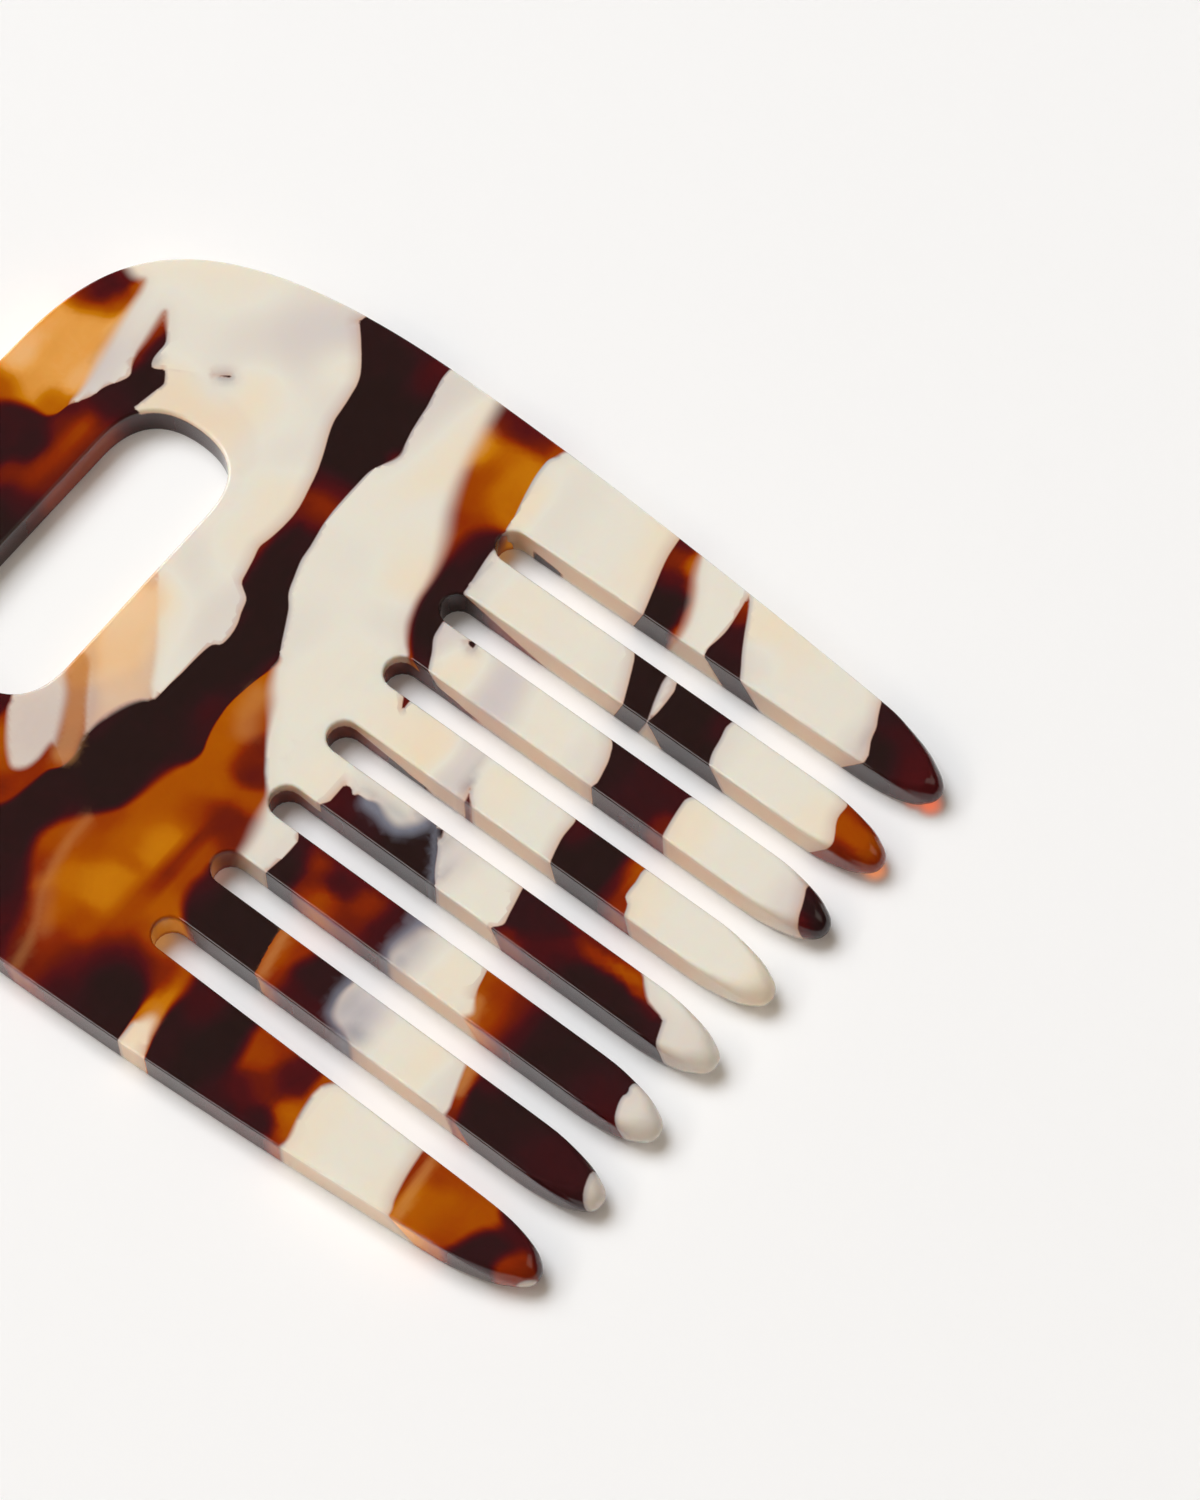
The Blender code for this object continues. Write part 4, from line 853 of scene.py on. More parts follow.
@dataclass(frozen=True)
class CombSizes:
    """The comb's sizes in metres, and the places that follow from them.

    All are the solid's own but three, which make the tips fuller near their ends: tip_fullness,
    rounding_length and nose_length.
    """

    thickness: float = 0.0049
    edge_radius: float = 0.00033
    teeth_each_side: int = 4
    pitch: float = 0.01025
    slot_width: float = 0.00415
    slot_length: float = 0.0591
    outer_slot_flare: float = 0.00075
    outer_tooth_width: float = 0.0077
    tip_length: float = 0.0116
    tip_fullness: float = 0.73
    outer_tip_place: float = 0.42
    outer_tip_side: float = 0.12
    outer_tip_end: float = 0.74
    tip_side_lean: float = 0.09
    rounding_length: float = 0.0080
    nose_length: float = 0.0034
    back_band: float = 0.0160
    middle_band: float = 0.0285
    flat_back_width: float = 0.0262
    side_band: float = 0.0119
    shoulder_length: float = 0.0432
    shoulder_back: float = 0.475
    shoulder_side: float = 0.985
    side_start: float = 0.31
    side_end: float = 0.30
    hole_width: float = 0.0162
    hole_length: float = 0.0410
    hole_end_length: float = 0.0082
    hole_end_fullness: float = 0.67
    hole_edge_radius: float = 0.00045

    @property
    def tip_y(self) -> float:
        """Where the teeth end."""
        return (self.back_band + self.hole_width + self.middle_band + self.slot_length) / 2

    @property
    def hole_back_y(self) -> float:
        """The hand hole's side towards the comb's back."""
        return self.back_band - self.tip_y

    @property
    def hole_front_y(self) -> float:
        """The hand hole's side towards the teeth."""
        return self.hole_back_y + self.hole_width

    @property
    def root_y(self) -> float:
        """Where the slots begin."""
        return self.hole_front_y + self.middle_band

    @property
    def root_centre_y(self) -> float:
        """The middle of the slots' round roots."""
        return self.root_y + self.slot_width / 2

    @property
    def taper_y(self) -> float:
        """Where the teeth start to narrow."""
        return self.tip_y - self.tip_length

    @property
    def widest_y(self) -> float:
        """Where the comb is widest."""
        return self.shoulder_length - self.tip_y

    @property
    def outer_slot_x(self) -> float:
        """The middle of the last slot."""
        return (self.teeth_each_side - 1) * self.pitch

    @property
    def half_width(self) -> float:
        """Half the comb's greatest width."""
        return self.outer_slot_x + self.slot_width / 2 + self.side_band

    @property
    def flare(self) -> float:
        """How fast the last slot widens towards its tip."""
        return self.outer_slot_flare / (self.tip_y - self.root_centre_y)

    @property
    def outer_inner_x(self) -> float:
        """The outer tooth's inner side where its tip begins."""
        gone = self.taper_y - self.root_centre_y
        return self.outer_slot_x + self.slot_width / 2 + self.flare * gone

    @property
    def outer_outer_x(self) -> float:
        """The outer tooth's outer side where its tip begins."""
        return self.outer_inner_x + self.outer_tooth_width


@dataclass
class Path:
    """A stretch of the comb's edge, with empty space on its right: points, normals and edge radius."""

    points: np.ndarray
    normals: np.ndarray
    radius: float


class EdgePlan:
    """Draws the comb's edge as paths of even steps.

    Args:
        sizes: The comb's sizes.
        step: The distance between points along the edge, in metres.
    """

    DENSE = 240
    FEWEST = 8
    NO_GAP = 1e-9
    ROUND_SHARE = 4 * (math.sqrt(2) - 1) / 3

    def __init__(self, sizes: CombSizes, step: float) -> None:
        """Keep the sizes and the step."""
        self.sizes = sizes
        self.step = step

    def bezier(self, start: tuple, leaving: tuple, arriving: tuple, end: tuple) -> np.ndarray:
        """Return a dense curve.

        Args:
            start: Where it starts.
            leaving: The handle that leaves the start.
            arriving: The handle that arrives at the end.
            end: Where it ends.

        Returns:
            Its points, one row each.
        """
        turn = np.linspace(0.0, 1.0, self.DENSE)[:, None]
        return cubic(turn, *(np.array(corner, float) for corner in (start, leaving, arriving, end)))

    def quarter(self, start: tuple, end: tuple, share: float, x_first: bool) -> np.ndarray:
        """Return a quarter round.

        Args:
            start: Where it starts.
            end: Where it ends.
            share: How far its handles reach towards the square corner.
            x_first: Whether it sets off along X.

        Returns:
            Its points, one row each.
        """
        corner = (end[0], start[1]) if x_first else (start[0], end[1])
        leaving = tuple(a + share * (c - a) for a, c in zip(start, corner))
        arriving = tuple(b + share * (c - b) for b, c in zip(end, corner))
        return self.bezier(start, leaving, arriving, end)

    def straight(self, start: tuple, end: tuple) -> np.ndarray:
        """Return a straight stretch as dense points."""
        turn = np.linspace(0.0, 1.0, self.DENSE)[:, None]
        return np.array(start, float) * (1 - turn) + np.array(end, float) * turn

    def even(self, stretches: list, closed: bool) -> tuple:
        """Join stretches and step along them evenly.

        Args:
            stretches: Dense stretches in order, each starting where the last ends.
            closed: Whether the last one ends at the first one's start.

        Returns:
            The points and the normals, which point to the right of the way along.
        """
        joined = [stretches[0]] + [stretch[1:] for stretch in stretches[1:]]
        dense = np.concatenate(joined)
        gaps = np.linalg.norm(np.diff(dense, axis=0), axis=1)
        dense = dense[np.concatenate(([True], gaps > self.NO_GAP))]
        gaps = np.linalg.norm(np.diff(dense, axis=0), axis=1)
        far = np.concatenate(([0.0], np.cumsum(gaps)))
        if closed:
            behind = np.vstack((dense[-2:-1], dense[:-1]))
            heading = np.vstack((dense[1:], dense[1:2])) - behind
        else:
            heading = np.gradient(dense, far, axis=0)
        count = max(self.FEWEST, round(far[-1] / self.step))
        places = np.linspace(0.0, far[-1], count + 1)
        if closed:
            places = places[:-1]
        points = np.stack([np.interp(places, far, dense[:, axis]) for axis in (0, 1)], 1)
        slopes = np.stack([np.interp(places, far, heading[:, axis]) for axis in (0, 1)], 1)
        slopes /= np.linalg.norm(slopes, axis=1)[:, None]
        return points, np.stack((slopes[:, 1], -slopes[:, 0]), 1)

    def back_and_sides(self) -> Path:
        """Return the path from one outer tooth, round the comb's back, to the other."""
        s = self.sizes
        flat_x = s.flat_back_width / 2
        back_y = -s.tip_y
        reach = s.half_width - flat_x
        side_length = s.taper_y - s.widest_y
        end_handle = s.side_end * side_length
        half = [
            self.straight((0, back_y), (flat_x, back_y)),
            self.bezier(
                (flat_x, back_y),
                (flat_x + s.shoulder_back * reach, back_y),
                (s.half_width, s.widest_y - s.shoulder_side * s.shoulder_length),
                (s.half_width, s.widest_y),
            ),
            self.bezier(
                (s.half_width, s.widest_y),
                (s.half_width, s.widest_y + s.side_start * side_length),
                (s.outer_outer_x + s.tip_side_lean * end_handle, s.taper_y - end_handle),
                (s.outer_outer_x, s.taper_y),
            ),
        ]
        mirrored = [stretch[::-1] * (-1, 1) for stretch in reversed(half)]
        points, normals = self.even(mirrored + half, closed=False)
        normals[0], normals[-1] = (-1, 0), (1, 0)
        return Path(points, normals, s.edge_radius)

    def slot(self, number: int) -> Path:
        """Return the path down one side of a slot, round its root and up the other side.

        Args:
            number: The slot, counted from the comb's middle line.

        Returns:
            The path, from the +X side to the -X side.
        """
        s = self.sizes
        middle = number * s.pitch
        half = s.slot_width / 2
        last = s.teeth_each_side - 1
        right_x = s.outer_inner_x if number == last else middle + half
        left_x = -s.outer_inner_x if number == -last else middle - half
        share = self.ROUND_SHARE
        stretches = [
            self.straight((right_x, s.taper_y), (middle + half, s.root_centre_y)),
            self.quarter((middle + half, s.root_centre_y), (middle, s.root_y), share, x_first=False),
            self.quarter((middle, s.root_y), (middle - half, s.root_centre_y), share, x_first=True),
            self.straight((middle - half, s.root_centre_y), (left_x, s.taper_y)),
        ]
        points, normals = self.even(stretches, closed=False)
        normals[0], normals[-1] = (-1, 0), (1, 0)
        return Path(points, normals, s.edge_radius)

    def hand_hole(self) -> Path:
        """Return the closed path round the hand hole."""
        s = self.sizes
        end_x = s.hole_length / 2
        straight_x = end_x - s.hole_end_length
        middle_y = (s.hole_back_y + s.hole_front_y) / 2
        share = s.hole_end_fullness
        right = [
            self.straight((0, s.hole_front_y), (straight_x, s.hole_front_y)),
            self.quarter((straight_x, s.hole_front_y), (end_x, middle_y), share, x_first=True),
            self.quarter((end_x, middle_y), (straight_x, s.hole_back_y), share, x_first=False),
            self.straight((straight_x, s.hole_back_y), (0, s.hole_back_y)),
        ]
        left = [stretch[::-1] * (-1, 1) for stretch in reversed(right)]
        points, normals = self.even(right + left, closed=True)
        return Path(points, normals, s.hole_edge_radius)


@dataclass
class CombSheet:
    """The sheet with its slots and hand hole, up to where the teeth start to narrow.

    Args:
        sizes: The comb's sizes.
        step: The distance between points along the edges, in metres.
        fine: The distance between points on the flats along the pattern's edges.
        coarse_every: How many fine steps there are between points elsewhere.
        round_steps: The steps round a rim.
        wall_steps: The steps down the straight part of a wall.
        flat_steps: The steps across a tooth where its tip begins.
        rim_gap: How far the flats' inner points stay from the rim.
        made: Each point that is made, with its normal.
    """

    WELD = 2e-6
    FLAT_SLACK = 1e-8
    RIM_SHARE = 0.999
    ROW_STEP = math.sqrt(0.75)

    sizes: CombSizes
    step: float = 0.00070
    fine: float = 0.00046
    coarse_every: int = 2
    round_steps: int = 4
    wall_steps: int = 6
    flat_steps: int = 8
    rim_gap: float = 0.00036
    made: list = field(default_factory=list)

    def profile(self, radius: float) -> list:
        """Return the rounded profile of an edge, from the top flat to the underside.

        Args:
            radius: The rim's radius.

        Returns:
            For each ring how far it is inside the edge, its height, and its normal's two parts.
        """
        rings = []
        top = self.sizes.thickness
        for step in range(self.round_steps + 1):
            turn = math.pi / 2 * step / self.round_steps
            inside = radius * (1 - math.sin(turn))
            rings.append((inside, top - radius * (1 - math.cos(turn)), math.sin(turn), math.cos(turn)))
        for step in range(1, self.wall_steps):
            height = top - radius - (top - 2 * radius) * step / self.wall_steps
            rings.append((0.0, height, 1.0, 0.0))
        for ring in list(reversed(rings[: self.round_steps + 1])):
            rings.append((ring[0], top - ring[1], ring[2], -ring[3]))
        return rings

    def inner_points(self, loops: list, pattern: "TortoiseSheet", depth: float) -> list:
        """Return the flat's inner points, close together along the pattern's edges.

        Args:
            loops: The flat's border loops, as (points, normals).
            pattern: The sheet's pattern.
            depth: The flat's depth in the sheet, 0 on top and 1 at the underside.

        Returns:
            The points as (x, y) pairs.
        """
        border = np.concatenate([points for points, _ in loops])
        outward = np.concatenate([normals for _, normals in loops])
        tree = KDTree(len(border))
        for index, point in enumerate(border):
            tree.insert((point[0], point[1], 0), index)
        tree.balance()
        low, high = border.min(0), border.max(0)
        rows = int((high[1] - low[1]) / (self.fine * self.ROW_STEP)) + 1
        columns = int((high[0] - low[0]) / self.fine) + 2
        row, column = np.meshgrid(np.arange(rows), np.arange(columns), indexing="ij")
        x = low[0] + (column + 0.5 * (row % 2)) * self.fine
        y = low[1] + row * self.fine * self.ROW_STEP
        every = self.coarse_every
        coarse = (row % every == 0) & ((column + (row // every) % 2 * (every // 2)) % every == 0)
        near = pattern.near_edge(np.stack((x.ravel(), y.ravel()), 1), depth).reshape(x.shape)
        kept = []
        for place_x, place_y in zip(x[coarse | near], y[coarse | near]):
            _, index, gap = tree.find((place_x, place_y, 0))
            away = (place_x - border[index][0], place_y - border[index][1])
            outside = away[0] * outward[index][0] + away[1] * outward[index][1]
            if gap > self.rim_gap and outside < 0:
                kept.append((place_x, place_y))
        return kept

    def flat(self, loops: list, inner: list) -> tuple:
        """Fill a flat side with triangles.

        Args:
            loops: The border loops' points.
            inner: Points inside the border.

        Returns:
            The points and the triangles, each a list of three point numbers.
        """
        points, edges = [], []
        for loop in loops:
            start, count = len(points), len(loop)
            points.extend(Vector(place) for place in loop)
            edges.extend((start + index, start + (index + 1) % count) for index in range(count))
        points.extend(Vector(place) for place in inner)
        made, _, triangles, _, _, _ = delaunay_2d_cdt(points, edges, [], 1, self.FLAT_SLACK)
        return made, triangles

    def build(self, plan: EdgePlan, pattern: "TortoiseSheet") -> bmesh.types.BMesh:
        """Make the sheet.

        Args:
            plan: The plan that draws the edges.
            pattern: The pattern, which sets where the flats need small faces.

        Returns:
            The sheet as a bmesh that is open where the tips begin.
        """
        teeth = self.sizes.teeth_each_side
        slots = [plan.slot(number) for number in range(teeth - 1, -teeth, -1)]
        outer = plan.back_and_sides()
        hole = plan.hand_hole()
        solid = bmesh.new()
        for path, closed in [(outer, False)] + [(slot, False) for slot in slots] + [(hole, True)]:
            self.sweep(solid, path, closed)
        border, normals = [], []
        around = [outer] + slots
        for path, after in zip(around, slots + [outer]):
            rim = path.points - path.normals * path.radius
            border.append(rim)
            normals.append(path.normals)
            start, end = rim[-1], after.points[0] - after.normals[0] * after.radius
            turns = np.arange(1, self.flat_steps)[:, None] / self.flat_steps
            border.append(start + (end - start) * turns)
            normals.append(np.tile((0.0, 1.0), (self.flat_steps - 1, 1)))
        edge = np.concatenate(border), np.concatenate(normals)
        ring = hole.points - hole.normals * hole.radius, hole.normals
        for depth, height in ((0.0, self.sizes.thickness), (1.0, 0.0)):
            inner = self.inner_points([edge, ring], pattern, depth)
            points, triangles = self.flat([edge[0], ring[0]], inner)
            self.add_flat(solid, points, triangles, height, hole)
        bmesh.ops.remove_doubles(solid, verts=solid.verts, dist=self.WELD)
        return solid

    def add_flat(
        self, solid: bmesh.types.BMesh, points: list, triangles: list, height: float, hole: Path
    ) -> None:
        """Add a flat side's triangles, except those inside the hand hole.

        Args:
            solid: The mesh that they are added to.
            points: The triangles' points.
            triangles: Three point numbers for each triangle.
            height: The flat's height.
            hole: The hand hole's path.
        """
        s = self.sizes
        up = height > 0
        corners = [solid.verts.new((point.x, point.y, height)) for point in points]
        upright = (0.0, 0.0, 1.0 if up else -1.0)
        self.made.extend((corner.co.copy(), upright) for corner in corners)
        within = s.hole_length / 2
        for triangle in triangles:
            x = sum(points[index].x for index in triangle) / 3
            y = sum(points[index].y for index in triangle) / 3
            if abs(x) < within and s.hole_back_y < y < s.hole_front_y:
                gaps = np.linalg.norm(hole.points - (x, y), axis=1)
                nearest = int(gaps.argmin())
                outside = np.dot((x, y) - hole.points[nearest], hole.normals[nearest])
                if outside > -hole.radius * self.RIM_SHARE:
                    continue
            order = triangle if up else list(reversed(triangle))
            solid.faces.new([corners[index] for index in order])

    def sweep(self, solid: bmesh.types.BMesh, path: Path, closed: bool) -> None:
        """Add the rounded wall along one path.

        Args:
            solid: The mesh that it is added to.
            path: The path.
            closed: Whether the path closes on itself.
        """
        rings = []
        for inside, height, level, rise in self.profile(path.radius):
            places = path.points - path.normals * inside
            ring = [solid.verts.new((x, y, height)) for x, y in places]
            rings.append(ring)
            for corner, (x, y) in zip(ring, path.normals):
                self.made.append((corner.co.copy(), (x * level, y * level, rise)))
        count = len(path.points)
        for upper, lower in zip(rings, rings[1:]):
            for index in range(count if closed else count - 1):
                after = (index + 1) % count
                solid.faces.new((upper[index], lower[index], lower[after], upper[after]))


@dataclass
class ToothTips:
    """The teeth's rounded tips: one inner tip, repeated along the comb, and the two outer ones.

    Args:
        sizes: The comb's sizes.
        sheet: The sheet that they are welded to, which gives the steps round a section.
        sections: How many sections a tip has.
        crowding: How much closer together they come towards the tip, 1 for evenly.
    """

    sizes: CombSizes
    sheet: CombSheet
    sections: int = 22
    crowding: float = 1.5

    def side(
        self, side_x: float, tip_x: float, lean: float, fullness: float, ending: float
    ) -> np.ndarray:
        """Return one side of a tip.

        Args:
            side_x: Where the side starts.
            tip_x: Where the tip ends.
            lean: How the side leans as it starts.
            fullness: How far it goes on before it turns in.
            ending: How broad the tip stays at its end.

        Returns:
            The side's points, closer together towards the tip.
        """
        s = self.sizes
        reach = fullness * s.tip_length
        turn = 1 - (1 - np.linspace(0.0, 1.0, self.sections + 1)) ** self.crowding
        start = np.array((side_x, s.taper_y))
        leaving = np.array((side_x + lean * reach, s.taper_y + reach))
        arriving = np.array((tip_x + ending * (side_x - tip_x), s.tip_y))
        end = np.array((tip_x, s.tip_y))
        return cubic(turn[:, None], start, leaving, arriving, end)

    def section(self, left: np.ndarray, right: np.ndarray) -> list:
        """Return the points of one section, a rounded rectangle.

        Args:
            left: Its place on the left side.
            right: Its place on the right side.

        Returns:
            The points, from the right of the top over the left side and the underside and back.
        """
        s = self.sizes
        half = s.thickness / 2
        width = float(np.linalg.norm(right - left))
        to_tip = s.tip_y - float(left[1] + right[1]) / 2
        growth = max(0.0, 1 - to_tip / s.rounding_length)
        nose = max(0.0, 1 - to_tip / s.nose_length)
        high = half * math.sqrt(1 - nose**2)
        radius = min(s.edge_radius + (half - s.edge_radius) * growth, high, width / 2)
        across = (left - right) / width
        outline = []
        steps, walls, flats = self.sheet.round_steps, self.sheet.wall_steps, self.sheet.flat_steps
        for step in range(flats + 1):
            outline.append((radius + (width - 2 * radius) * step / flats, high))
        for step in range(1, steps + 1):
            turn = math.pi / 2 * step / steps
            outline.append((width - radius * (1 - math.sin(turn)), high - radius * (1 - math.cos(turn))))
        for step in range(1, walls):
            outline.append((width, high - radius - (2 * high - 2 * radius) * step / walls))
        for step in range(steps, -1, -1):
            turn = math.pi / 2 * step / steps
            outline.append((width - radius * (1 - math.sin(turn)), -high + radius * (1 - math.cos(turn))))
        under = [(width - place, -height) for place, height in outline]
        return [(*(right + across * place), height + half) for place, height in outline[:-1] + under[:-1]]

    def add_tip(self, solid: bmesh.types.BMesh, left: np.ndarray, right: np.ndarray) -> None:
        """Loft one tip and close its end.

        Args:
            solid: The mesh that it is added to.
            left: The left side's points.
            right: The right side's points.
        """
        pairs = zip(left[:-1], right[:-1])
        rings = [[solid.verts.new(place) for place in self.section(*pair)] for pair in pairs]
        for ring, after in zip(rings, rings[1:]):
            for index in range(len(ring)):
                beyond = (index + 1) % len(ring)
                solid.faces.new((ring[index], after[index], after[beyond], ring[beyond]))
        end = solid.verts.new((left[-1][0], self.sizes.tip_y, self.sizes.thickness / 2))
        last = rings[-1]
        for index in range(len(last)):
            solid.faces.new((last[index], end, last[(index + 1) % len(last)]))

    def inner_tip(self) -> bmesh.types.BMesh:
        """Make one inner tip in the middle of the comb."""
        s = self.sizes
        half = (s.pitch - s.slot_width) / 2
        solid = bmesh.new()
        left = self.side(-half, 0.0, 0.0, s.tip_fullness, s.tip_fullness)
        right = self.side(half, 0.0, 0.0, s.tip_fullness, s.tip_fullness)
        self.add_tip(solid, left, right)
        return solid

    def outer_tip(self, mirrored: bool) -> bmesh.types.BMesh:
        """Make one outer tip.

        Args:
            mirrored: Whether it is the one at -X.

        Returns:
            The tip.
        """
        s = self.sizes
        solid = bmesh.new()
        tip_x = s.outer_inner_x + s.outer_tip_place * s.outer_tooth_width
        inner = self.side(s.outer_inner_x, tip_x, s.flare, s.tip_fullness, s.tip_fullness)
        outer = self.side(s.outer_outer_x, tip_x, -s.tip_side_lean, s.outer_tip_side, s.outer_tip_end)
        if mirrored:
            self.add_tip(solid, outer * (-1, 1), inner * (-1, 1))
        else:
            self.add_tip(solid, inner, outer)
        return solid

    def repeat_tree(self) -> bpy.types.GeometryNodeTree:
        """Make the tree that repeats one tip along a row of teeth."""
        tree = bpy.data.node_groups.new("tips_along_the_comb", "GeometryNodeTree")
        for name, kind in (
            ("Geometry", "NodeSocketGeometry"),
            ("Teeth", "NodeSocketInt"),
            ("Tooth pitch", "NodeSocketFloat"),
            ("First tooth", "NodeSocketFloat"),
            ("Finish", "NodeSocketMaterial"),
        ):
            tree.interface.new_socket(name, in_out="INPUT", socket_type=kind)
        tree.interface.new_socket("Geometry", in_out="OUTPUT", socket_type="NodeSocketGeometry")
        given = tree.nodes.new("NodeGroupInput")
        start = add_node(tree, "ShaderNodeCombineXYZ", X=given.outputs["First tooth"])
        offset = add_node(tree, "ShaderNodeCombineXYZ", X=given.outputs["Tooth pitch"])
        row = add_node(tree, "GeometryNodeMeshLine", Count=given.outputs["Teeth"])
        tree.links.new(start.outputs[0], row.inputs["Start Location"])
        tree.links.new(offset.outputs[0], row.inputs["Offset"])
        placed = add_node(
            tree, "GeometryNodeInstanceOnPoints", Points=row.outputs[0], Instance=given.outputs["Geometry"]
        )
        real = add_node(tree, "GeometryNodeRealizeInstances", Geometry=placed.outputs[0])
        dressed = add_node(
            tree, "GeometryNodeSetMaterial", Geometry=real.outputs[0], Material=given.outputs["Finish"]
        )
        result = tree.nodes.new("NodeGroupOutput")
        tree.links.new(dressed.outputs[0], result.inputs[0])
        return tree

    def inner_row(self, finish: bpy.types.Material) -> bpy.types.Mesh:
        """Repeat the inner tip along the comb.

        Args:
            finish: The material that the tips take.

        Returns:
            One plain mesh with all the inner tips.
        """
        s = self.sizes
        mesh = bpy.data.meshes.new("inner_tip")
        solid = self.inner_tip()
        solid.to_mesh(mesh)
        solid.free()
        holder = bpy.data.objects.new("inner_tip", mesh)
        bpy.context.scene.collection.objects.link(holder)
        modifier = holder.modifiers.new("row", "NODES")
        modifier.node_group = self.repeat_tree()
        count = 2 * (s.teeth_each_side - 1)
        values = {
            "Teeth": count,
            "Tooth pitch": s.pitch,
            "First tooth": -(count - 1) / 2 * s.pitch,
            "Finish": finish,
        }
        for item in modifier.node_group.interface.items_tree:
            if item.in_out == "INPUT" and item.name in values:
                modifier[item.identifier] = values[item.name]
        graph = bpy.context.evaluated_depsgraph_get()
        row = bpy.data.meshes.new_from_object(holder.evaluated_get(graph))
        bpy.data.objects.remove(holder)
        return row


@dataclass(frozen=True)
class PolishedAcetate:
    """Cellulose acetate sheet, tumbled and hand polished: ivory with tortoiseshell laid in.

    Args:
        ivory: The ivory's stops, from lilac grey through ivory to peach.
        tortoise: The tortoiseshell's stops, from honey through rust and oxblood to espresso.
        slate: What dark acetate looks like through a thin ivory film.
        milk: A thin ivory film over amber.
        wall: The warm colour painted on the ivory's walls, a painted glow for light that has gone through
            the sheet.
        blush: What tints the ivory where a patch fades into it.
        mauve: What the ivory turns towards beside a patch.
        ragged: How far the patches' edges wave.
        swing: How much the flow varies honey, and how much more it varies espresso.
        wall_glow_lift: How much lighter the inlaid acetate is painted on a wall, for light that has come
            through the sheet.
        wall_glow_tint: How much of that painted wall glow the ivory takes there.
        glow: How strongly clear amber walls glow, an emission painted on them for light that has come
            through the sheet.
        haze: The least and the most roughness of the polish.
    """

    ivory: tuple = (
        (0.0, "#D4CBCC"),
        (0.25, "#E4DCD2"),
        (0.5, "#EFEADC"),
        (0.75, "#F4E6CE"),
        (1.0, "#F8DBB4"),
    )
    tortoise: tuple = (
        (0.0, "#F8CF9A"),
        (0.07, "#EBA852"),
        (0.14, "#D0820C"),
        (0.24, "#B86002"),
        (0.34, "#A84A02"),
        (0.44, "#932E06"),
        (0.54, "#75200C"),
        (0.64, "#5A1517"),
        (0.74, "#441518"),
        (0.86, "#36191B"),
        (1.0, "#2B1B19"),
    )
    slate: str = "#8A8C99"
    milk: str = "#D89E5E"
    wall: str = "#EDBE8E"
    blush: str = "#E8B496"
    mauve: str = "#B88C84"
    ragged: float = 0.05 * MM
    swing: tuple = (0.02, 0.12)
    wall_glow_lift: float = 0.14
    wall_glow_tint: float = 0.55
    glow: float = 0.35
    haze: tuple = (0.035, 0.085)

    def make(self) -> bpy.types.Material:
        """Make the material."""
        material = bpy.data.materials.new("polished_acetate")
        material.use_nodes = True
        tree = material.node_tree
        add = partial(add_node, tree)
        shader = tree.nodes["Principled BSDF"]
        place = add("ShaderNodeTexCoord").outputs["Object"]
        names = ("inlay", "darks", "ivory", "films")
        inlay, darks, cream, films = (self.part(tree, name) for name in names)

        # The patches' edges are a little ragged, in waves about 1 mm long
        grain = add(NOISE, Vector=place, Scale=0.9 / MM, Detail=3.0, Roughness=0.55)
        ragged = add(MATHS, operation="MULTIPLY_ADD", i0=grain, i1=self.ragged, i2=-self.ragged / 2)
        covered, darkened = self.border(tree, inlay, ragged), self.border(tree, darks, ragged)
        on_wall = self.wall_share(tree, place)

        # Cloudy flow inside the amber and the dark, some 4 mm across
        flow = add(NOISE, Vector=place, Scale=0.26 / MM, Detail=4.0, Roughness=0.6, Distortion=1.2)
        flow = add(MATHS, operation="SUBTRACT", i0=flow, i1=0.5)
        tone = add(MIX, i0=darkened, i2=inlay[2], i3=darks[2])
        reach = add(MATHS, operation="MULTIPLY_ADD", i0=tone, i1=self.swing[1], i2=self.swing[0])
        swing = add(MATHS, operation="MULTIPLY", i0=flow, i1=reach)
        tone = add(MATHS, operation="ADD", i0=tone, i1=swing)
        # Painted light: on the walls the inlaid acetate is lightened, standing in for light that has come
        # through the sheet
        painted_wall_lift = add(MATHS, operation="MULTIPLY", i0=on_wall, i1=self.wall_glow_lift)
        tone = add(MATHS, operation="SUBTRACT", i0=tone, i1=painted_wall_lift)
        shell = add("ShaderNodeValToRGB", Fac=tone)
        self.set_stops(shell.color_ramp, self.tortoise)
        for share, film in ((films[0], self.milk), (films[1], self.slate)):
            shell = add(MIX, data_type="RGBA", i0=share, i6=shell, i7=linear(film))

        # The ivory is cloudy too, some 12 mm across and very faint
        cloud = add(NOISE, Vector=place, Scale=0.08 / MM, Detail=2.0)
        drift = add(MATHS, operation="MULTIPLY_ADD", i0=cloud, i1=0.10, i2=-0.05)
        warmth = add(MATHS, operation="ADD", i0=cream[0], i1=drift)
        ivory = add("ShaderNodeValToRGB", Fac=warmth)
        self.set_stops(ivory.color_ramp, self.ivory)
        # Painted glow: the ivory on the walls takes a warm tan that stands in for light come through the
        # sheet
        wall_glow_share = add(MATHS, operation="MULTIPLY", i0=on_wall, i1=self.wall_glow_tint)

        # Beside a patch the ivory is thinner over it and turns a little mauve, for some 2 mm
        limits = {"From_Min": -2.0 * MM, "From_Max": 0.2 * MM}
        near = add(REMAP, interpolation_type="SMOOTHSTEP", Value=inlay[0], **limits)
        turned = add(MATHS, operation="ADD", i0=films[2], i1=0.10)
        beside = add(MATHS, operation="MULTIPLY", i0=near, i1=turned)

        # Thin ivory over the slanting side of a dark patch looks bluish, and tan on its other side
        reach = add(REMAP, Value=inlay[0], From_Min=-0.55 * MM, From_Max=0.0)
        cool = add(MATHS, operation="MULTIPLY", i0=reach, i1=cream[2])
        warm = add(MATHS, operation="MULTIPLY", i0=reach, i1=films[2])
        layers = (
            (cream[1], self.slate),
            (wall_glow_share, self.wall),
            (beside, self.mauve),
            (cool, self.slate),
            (warm, self.milk),
        )
        for share, layer in layers:
            ivory = add(MIX, data_type="RGBA", i0=share, i6=ivory, i7=linear(layer))
        colour = add(MIX, data_type="RGBA", i0=covered, i6=ivory, i7=shell)

